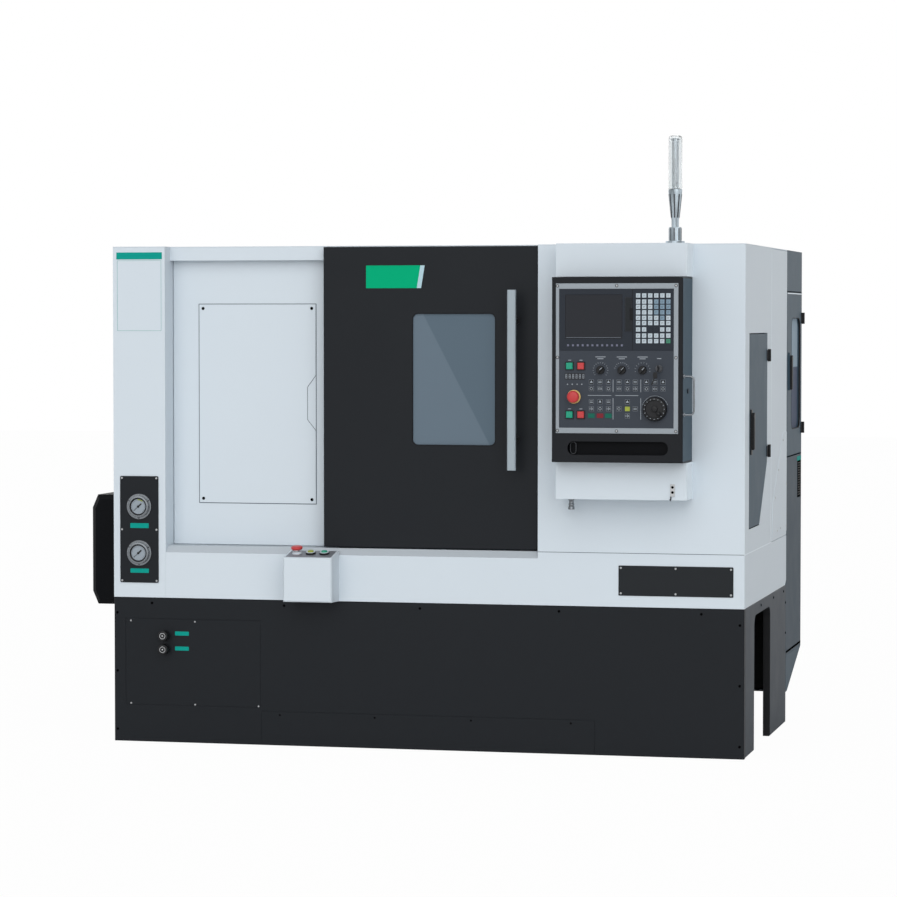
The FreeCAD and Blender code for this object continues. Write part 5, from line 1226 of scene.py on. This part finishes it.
class LATHE_OT_switch_panel(bpy.types.Operator):
    """Finishes the switch panel with its flat keys, scales, digits and lamps"""

    bl_idname = "lathe.switch_panel"
    bl_label = "Switch panel"

    def execute(self, context):
        film = ahead(7, 0.3)
        areas = [
            ("black plastic and painted shade", (1640, film[0], 1190), (1682, film[1], 1232)),
            ("dark steel and painted reflections", (1930, film[0], 1290), (1960, film[1], 1318)),
        ]
        for x, z in SQUARE_BUTTONS:
            low, high = (x - 15, film[0], z - 15), (x + 15, film[1], z + 15)
            areas.append(("black plastic and painted shade", low, high))
        dressed("switch_panel", "panel film", 0.5, areas)
        self.flat_keys()
        self.coloured_keys()
        self.printed_scales()
        self.digits_and_lamps()
        return {"FINISHED"}

    def flat_keys(self):
        spots = [(x, 0, z) for x in FLAT_KEY_COLUMNS for z in (1260, 1238)]
        spots += [(x, 0, z) for x in FLAT_KEY_COLUMNS[:3] for z in (1195, 1172)]
        spots += [(1840, 0, 1195), (1812, 0, 1172), (1866, 0, 1172), (1840, 0, 1149)]
        x, _, z = spots[0]
        wide, high = span(x, 8), span(z, 8)
        rim = open_frame(wide, ahead(0.9), high, Y, 1.5, 0.9, 3)
        wide, high = span(x, 7), span(z, 7)
        cap = plate(wide, ahead(1.4), high, Y, 1.5, 0.3, 3)
        keys = at_each(joined(painted(cap, "key film"), painted(rim, "key outline")), spots)
        seat(keys, "flat_keys", "console", "panel_film")
        printed = ahead(1.6, 1.3)
        arrow = turned("front", (x, PANEL - 1.3, z), [(0, 5.6), (0.3, 5.6)], 3)
        ring = open_frame(span(x, 5), printed, span(z, 5), Y, 4.9, 1.6, 5)
        bars = repeated(block(span(x, 5.4), printed, (z + 1.4, z + 3.4), 0), (0, 0, -4.8))
        posts = joined(
            block(span(x, 1), printed, span(z, 5.2), 0),
            block((x - 5.4, x - 3.6), printed, span(z, 3.6), 0),
            block((x + 3.6, x + 5.4), printed, span(z, 3.6), 0),
        )
        for number, sign in enumerate((arrow, ring, bars, posts)):
            places = spots[number::4]
            pick(painted(sign, "key sign"))
            start = (Vector(places[0]) - Vector(spots[0])) * MM
            bpy.ops.transform.translate(value=start)
            signs = at_each(settle(sign), places)
            seat(signs, "key_signs_%d" % (number + 1), "console", "panel_film")

    def coloured_keys(self):
        for name, x, z, half, paint in (
            ("left_key", 1720, 1149, 11, "dim green"),
            ("middle_key", 1749, 1149, 11, "dim red"),
            ("right_key", 1777, 1149, 11, "dim green"),
            ("jog_key", 1840, 1172, 8, "lime plastic"),
        ):
            wide, high = span(x, half), span(z, 7.5)
            cap = plate(wide, ahead(1.5), high, Y, 1.5, 0.4, 3)
            seat(painted(cap, paint), name, "console", "green_plastic")

    def printed_scales(self):
        printed = ahead(0.3)
        wide, high = ((1791.5, 1793), (1883.5, 1885)), ((1227, 1268), (1137, 1207))
        bars = [(x, z) for x in wide for z in high]
        bars += [((1708, 1786), (1215, 1216.4)), ((1800, 1876), (1215, 1216.4))]
        marks = [block(x, printed, z, 0) for x, z in bars]
        for _, x, count, sweep in SELECTORS:
            tick = ray(x, SELECTOR_ROW, sweep / 2, 22.5, 26, 0.9, printed)
            marks.append(around(tick, count, sweep, (x, 0, SELECTOR_ROW)))
            for wide, z in ((34, 1342), (20, 1336)):
                marks.append(block(span(x, wide / 2), printed, span(z, 1), 0))
        for x, z in SQUARE_BUTTONS:
            marks.append(block(span(x, 5), printed, (z + 18, z + 20), 0))
        marks.append(block((1938, 1952), printed, (1336, 1338), 0))
        x, _, z = WHEEL
        marks.append(around(ray(x, z, 70, 42.4, 44, 3.8, printed), 40, 140, (x, 0, z)))
        seat(painted(joined(*marks), "white print and painted highlights"), "panel_print", "console", "panel_film")

    def digits_and_lamps(self):
        window = plate((1631, 1698), ahead(0.8), (1267, 1289), Y, 2, 0)
        lit = ahead(1.1, 0.7)
        digit = open_frame((1633.4, 1638.8), lit, (1271, 1285), Y, 1, 1.1, 2)
        digit = joined(digit, block((1634, 1638.2), lit, (1277.4, 1278.6), 0))
        digits = repeated(painted(digit, "key sign"), *[(11.4 * i, 0, 0) for i in range(1, 6)])
        window = joined(painted(window, "display plastic"), digits)
        seat(window, "digit_window", "console", "panel_film")
        lamp = turned("front", (1640, PANEL, 1252), [(0, 2), (0.8, 2), (1.4, 1.2)], 12)
        lamps = repeated(painted(lamp, "white print and painted highlights"), *[(16 * i, 0, 0) for i in range(1, 4)])
        seat(lamps, "panel_lamps", "console", "panel_film")


class LATHE_OT_console_controls(bpy.types.Operator):
    """Finishes the console's buttons and makes its stop, selectors, handwheel and key switch"""

    bl_idname = "lathe.console_controls"
    bl_label = "Console controls"

    def execute(self, context):
        for node, paint in (
            ("power_on_button", "green plastic"),
            ("power_off_button", "red plastic"),
            ("cycle_start_button", "green plastic"),
            ("feed_hold_button", "red plastic"),
        ):
            dressed(node, paint, 0.8)
        self.stop()
        for name, x, _, _ in SELECTORS:
            self.selector(name, x)
        self.handwheel()
        self.key_switch()
        return {"FINISHED"}

    def stop(self):
        ring = [(3.4, 22.6), (4.4, 22.6), (5, 21.8), (5, 17.2), (4.4, 17)]
        ring = painted(turned("front", STOP, ring, 40), "yellow plastic")
        seat(ring, "stop_ring", "console", "yellow_plastic")
        cap = [(11, 14), (11.5, 18), (15, 19.8), (22, 19.8), (26, 18.6), (28.6, 15.5)]
        cap += [(29.6, 10), (30, 2)]
        neck = turned("front", STOP, [(-14, 11), (10.8, 11), (12, 12)], 32)
        cap = turned("front", STOP, cap, 44, degrees=50)
        whole = joined(painted(cap, "red plastic"), painted(neck, "dark steel and painted reflections"))
        seat(whole, "console_mushroom", "console_stop", "red_plastic", "console_stop")

    def selector(self, name, x):
        """A knob with a white line, turned to the left by 45 degrees."""
        centre = (x, PANEL, SELECTOR_ROW)
        skirt = turned("front", centre, [(0.6, 14), (5.6, 13.4), (7.4, 12.4), (7.6, 11)], 40, 0.3)
        deep, high = ahead(18.4, 6.5), span(SELECTOR_ROW, 13)
        grip = plate(span(x, 4), deep, high, Y, 2.5, 1.2)
        post = turned("front", centre, [(-15, 5), (1, 5)], 20)
        line = ray(x, SELECTOR_ROW, 0, 1, 12, 1.6, ahead(18.8, 18.2))
        knob = painted(joined(skirt, grip, post), "black plastic and painted shade")
        whole = joined(knob, painted(line, "white print and painted highlights"))
        open_on(whole)
        bpy.ops.transform.rotate(
            value=math.radians(-45), orient_axis="Y", center_override=at(x, 0, SELECTOR_ROW)
        )
        close()
        seat(whole, name + "_knob", name, "black_plastic", name)

    def handwheel(self):
        x, _, z = WHEEL
        dial = [(1.2, 40), (16, 38.5), (19.5, 36.5), (20.6, 34), (20.4, 30), (17, 28.6)]
        dial += [(17, 11), (21.5, 10), (22.4, 8), (22.4, 1)]
        wheel = turned("front", WHEEL, dial, 64)
        rib = turned("front", (x, PANEL, z + 38.6), [(3, 1.1), (15, 1.1), (16, 0.5)], 8)
        ribs = around(rib, 48, 360, (x, 0, z))
        post = turned("front", WHEEL, [(-15, 5), (2, 5)], 20)
        knob = [(16, 4), (20, 4), (22, 6.2), (34, 6.6), (37, 5.4), (38.4, 2.4)]
        knob = turned("front", (x + 15, PANEL, z - 15), knob, 28, degrees=50)
        body = painted(joined(wheel, ribs, post, knob), "black plastic and painted shade")
        # Painted highlights: a ring of white dots stands for glints on the handwheel.
        dot = turned("front", (x, PANEL, z + 33), [(19.8, 1.3), (20.9, 1.3)], 10)
        dots = around(painted(dot, "white print and painted highlights"), 16, 360, (x, 0, z))
        seat(joined(body, dots), "pulse_handwheel", "handwheel", "black_plastic", "handwheel")

    def key_switch(self):
        barrel = [(5.4, 9.6), (8.6, 9.6), (9.4, 8.8), (9.4, 2), (7, 1.8)]
        barrel = turned("front", KEY_LOCK, barrel, 32)
        post = turned("front", KEY_LOCK, [(-15, 5), (6, 5)], 20)
        blade = block((1944, 1946), ahead(20, 8), (1300, 1308), 0.4)
        bow = plate((1943.6, 1946.4), ahead(35, 18), (1293, 1315), X, 6, 0.6)
        deep, tilt = ahead(32, 30), (0, math.radians(22), 0)
        spare = plate((1930, 1944), deep, (1272, 1293), Y, 5, 0.5)
        shank = block((1928, 1932), deep, (1250, 1276), 0.4, tilt)
        lock = painted(joined(barrel, post), "dark steel and painted reflections")
        keys = painted(joined(blade, bow, spare, shank), "black plastic and painted shade")
        seat(joined(lock, keys), "key_and_lock", "key_switch", "steel", "key_switch")


class LATHE_OT_small_fittings(bpy.types.Operator):
    """Makes the coupler and the hook under the console's pod"""

    bl_idname = "lathe.small_fittings"
    bl_label = "Small fittings"

    def execute(self, context):
        rings = [(-0.5, 10), (7, 10), (8, 7.6), (18, 7.6), (19, 9.4), (25, 9.4), (25.6, 8.4)]
        rings += [(28, 8.4), (28.6, 10), (37, 10.6), (38, 10), (38, 6), (30, 5.6)]
        coupler = painted(turned("down", (1627, -60, 870), rings, 28, 0.3), "gauge metal")
        seat(coupler, "air_coupler", "machine", "chrome")
        bracket = plate((1971, 1987), (-130.5, -127), (882, 923), Y, 3, 0.5)
        route = [("run", (0, 0, -14)), ("bend", 150, (1973, -134, 876), (1, 0, 0))]
        hook = bent_rod((1973, -128, 890), "down", 2.4, route)
        head = turned("front", (1979, -130.5, 896), [(0, 4.6), (1.4, 4.4), (2.2, 3)], 16)
        heads = repeated(painted(head, "black screw and painted shade"), (0, 0, 17))
        whole = joined(painted(bracket, "screw steel"), painted(hook, "dark steel and painted reflections"), heads)
        seat(whole, "cable_hook", "machine", "steel")
        return {"FINISHED"}


class LATHE_OT_inside(bpy.types.Operator):
    """Finishes the castings, the spindle, the turret, the tailstock and the motor"""

    bl_idname = "lathe.inside"
    bl_label = "Machine inside"

    def execute(self, context):
        for node in ("headstock", "saddle", "turret_housing", "tailstock"):
            dressed(node, "casting paint", 1.2)
        # Painted shade: the tunnel through the bed is painted black, where it lies in shade.
        tunnel_shade = ("black plastic and painted shade", (-1, 236, -1), (2201, 642, 464))
        dressed("bed_casting", "casting paint", 1.2, [tunnel_shade])
        for node in ("spindle", "chuck", "turret_disc", "tailstock_quill", "motor_pulley"):
            dressed(node, "turned steel", 0.8, degrees=34)
        for node in ("chuck_jaw_1", "chuck_jaw_2", "chuck_jaw_3", "levelling_feet"):
            dressed(node, "dark steel and painted reflections", 0.8)
        dressed("splash_guard", "stainless sheet", 0.4)
        dressed("spindle_motor", "motor paint", 0.8)
        dressed("drive_belt", "rubber", 0.8, degrees=34)
        return {"FINISHED"}


def mapped(nodes, links, value, **limits):
    """A number moved from one range to another, for a world or a floor."""
    made = nodes.new("ShaderNodeMapRange")
    for name, limit in limits.items():
        made.inputs[name.replace("_", " ").title()].default_value = limit
    links.new(value, made.inputs["Value"])
    return made


def larger(nodes, links, first, second):
    made = nodes.new("ShaderNodeMath")
    made.operation = "MAXIMUM"
    links.new(first, made.inputs[0])
    links.new(second, made.inputs[1])
    return made.outputs[0]


def room_light(nodes, links, day):
    """White for the camera, darker behind the camera for shine, and even light for the rest."""
    path = nodes.new("ShaderNodeLightPath").outputs
    direct = larger(nodes, links, path["Is Camera Ray"], path["Is Transmission Ray"])
    toward = nodes.new("ShaderNodeSeparateXYZ")
    links.new(nodes.new("ShaderNodeTexCoord").outputs["Object"], toward.inputs[0])
    depth = mapped(nodes, links, toward.outputs["Y"], from_min=-0.6, from_max=0.3, to_min=0.4)
    shine = mapped(nodes, links, path["Is Glossy Ray"], to_min=day)
    links.new(depth.outputs[0], shine.inputs["To Max"])
    return larger(nodes, links, direct, shine.outputs[0])


def studio_paper():
    """The floor's finish: nearly white for the camera, and plain matt paper for the light."""
    paper = bpy.data.materials.new("studio floor")
    paper.use_nodes = True
    nodes, links = paper.node_tree.nodes, paper.node_tree.links
    nodes.remove(nodes["Principled BSDF"])
    matt = nodes.new("ShaderNodeBsdfDiffuse")
    matt.inputs["Color"].default_value = (PAPER_TONE, PAPER_TONE, PAPER_TONE, 1)
    glow = nodes.new("ShaderNodeEmission")
    seen = nodes.new("ShaderNodeLightPath").outputs["Is Camera Ray"]
    share = mapped(nodes, links, seen, to_min=0.0, to_max=PAPER_GLOW)
    blend = nodes.new("ShaderNodeMixShader")
    for place, made in zip(blend.inputs, (share, matt, glow)):
        links.new(made.outputs[0], place)
    links.new(blend.outputs[0], nodes["Material Output"].inputs["Surface"])
    return paper


class LATHE_OT_stage(bpy.types.Operator):
    """Sets the floor, the soft light and the camera"""

    bl_idname = "lathe.stage"
    bl_label = "Stage"

    def execute(self, context):
        sizes = context.scene.lathe_sizes
        deselect()
        bpy.ops.mesh.primitive_plane_add(size=sizes.floor, location=(0, 0, 0))
        floor = bpy.context.object
        floor.name = floor.data.name = "studio_floor"
        floor.data.materials.append(studio_paper())
        room = bpy.data.worlds.new("studio")
        room.use_nodes = True
        nodes, links = room.node_tree.nodes, room.node_tree.links
        level = room_light(nodes, links, sizes.day)
        links.new(level, nodes["Background"].inputs["Strength"])
        nodes["Background"].inputs["Color"].default_value = (1, 1, 1, 1)
        context.scene.world = room
        bpy.ops.object.light_add(type="SUN", location=LAMP_PLACE)
        lamp = bpy.context.object
        lamp.name = "broad_lamp"
        lamp.data.energy = sizes.lamp
        lamp.data.angle = LAMP_WIDTH
        lamp.rotation_euler = LAMP_DIRECTION.to_track_quat("-Z", "Y").to_euler()
        bpy.ops.object.camera_add(location=CAMERA_PLACE, rotation=CAMERA_TURN)
        camera = bpy.context.object
        camera.data.lens = CAMERA_LENS
        camera.data.sensor_width = CAMERA_SENSOR
        context.scene.camera = camera
        context.scene.view_settings.view_transform = "Standard"
        return {"FINISHED"}


class LATHE_PT_panel(bpy.types.Panel):
    """Lists the steps that dress the lathe"""

    bl_idname = "LATHE_PT_panel"
    bl_label = "Turning lathe"
    bl_space_type = "VIEW_3D"
    bl_region_type = "UI"
    bl_category = "Lathe"

    def draw(self, context):
        for step in STEPS:
            self.layout.operator(step.bl_idname)


STEPS = (
    LATHE_OT_finishes,
    LATHE_OT_covers,
    LATHE_OT_cover_screws,
    LATHE_OT_plates,
    LATHE_OT_sliding_door,
    LATHE_OT_side_doors,
    LATHE_OT_gauges,
    LATHE_OT_pressure_knobs,
    LATHE_OT_start_box,
    LATHE_OT_lamp,
    LATHE_OT_console_case,
    LATHE_OT_display,
    LATHE_OT_switch_panel,
    LATHE_OT_console_controls,
    LATHE_OT_small_fittings,
    LATHE_OT_inside,
    LATHE_OT_stage,
)
CLASSES = (LatheColours, LatheSizes, *STEPS, LATHE_PT_panel)


def register():
    for item in CLASSES:
        bpy.utils.register_class(item)
    bpy.types.Scene.lathe_colours = bpy.props.PointerProperty(type=LatheColours)
    bpy.types.Scene.lathe_sizes = bpy.props.PointerProperty(type=LatheSizes)


def unregister():
    del bpy.types.Scene.lathe_sizes
    del bpy.types.Scene.lathe_colours
    for item in reversed(CLASSES):
        bpy.utils.unregister_class(item)


def main():
    register()
    bpy.ops.lathe.finishes()
    bpy.ops.lathe.covers()
    bpy.ops.lathe.cover_screws()
    bpy.ops.lathe.plates()
    bpy.ops.lathe.sliding_door()
    bpy.ops.lathe.side_doors()
    bpy.ops.lathe.gauges()
    bpy.ops.lathe.pressure_knobs()
    bpy.ops.lathe.start_box()
    bpy.ops.lathe.lamp()
    bpy.ops.lathe.console_case()
    bpy.ops.lathe.display()
    bpy.ops.lathe.switch_panel()
    bpy.ops.lathe.console_controls()
    bpy.ops.lathe.small_fittings()
    bpy.ops.lathe.inside()
    bpy.ops.lathe.stage()


if __name__ == "__main__":
    main()
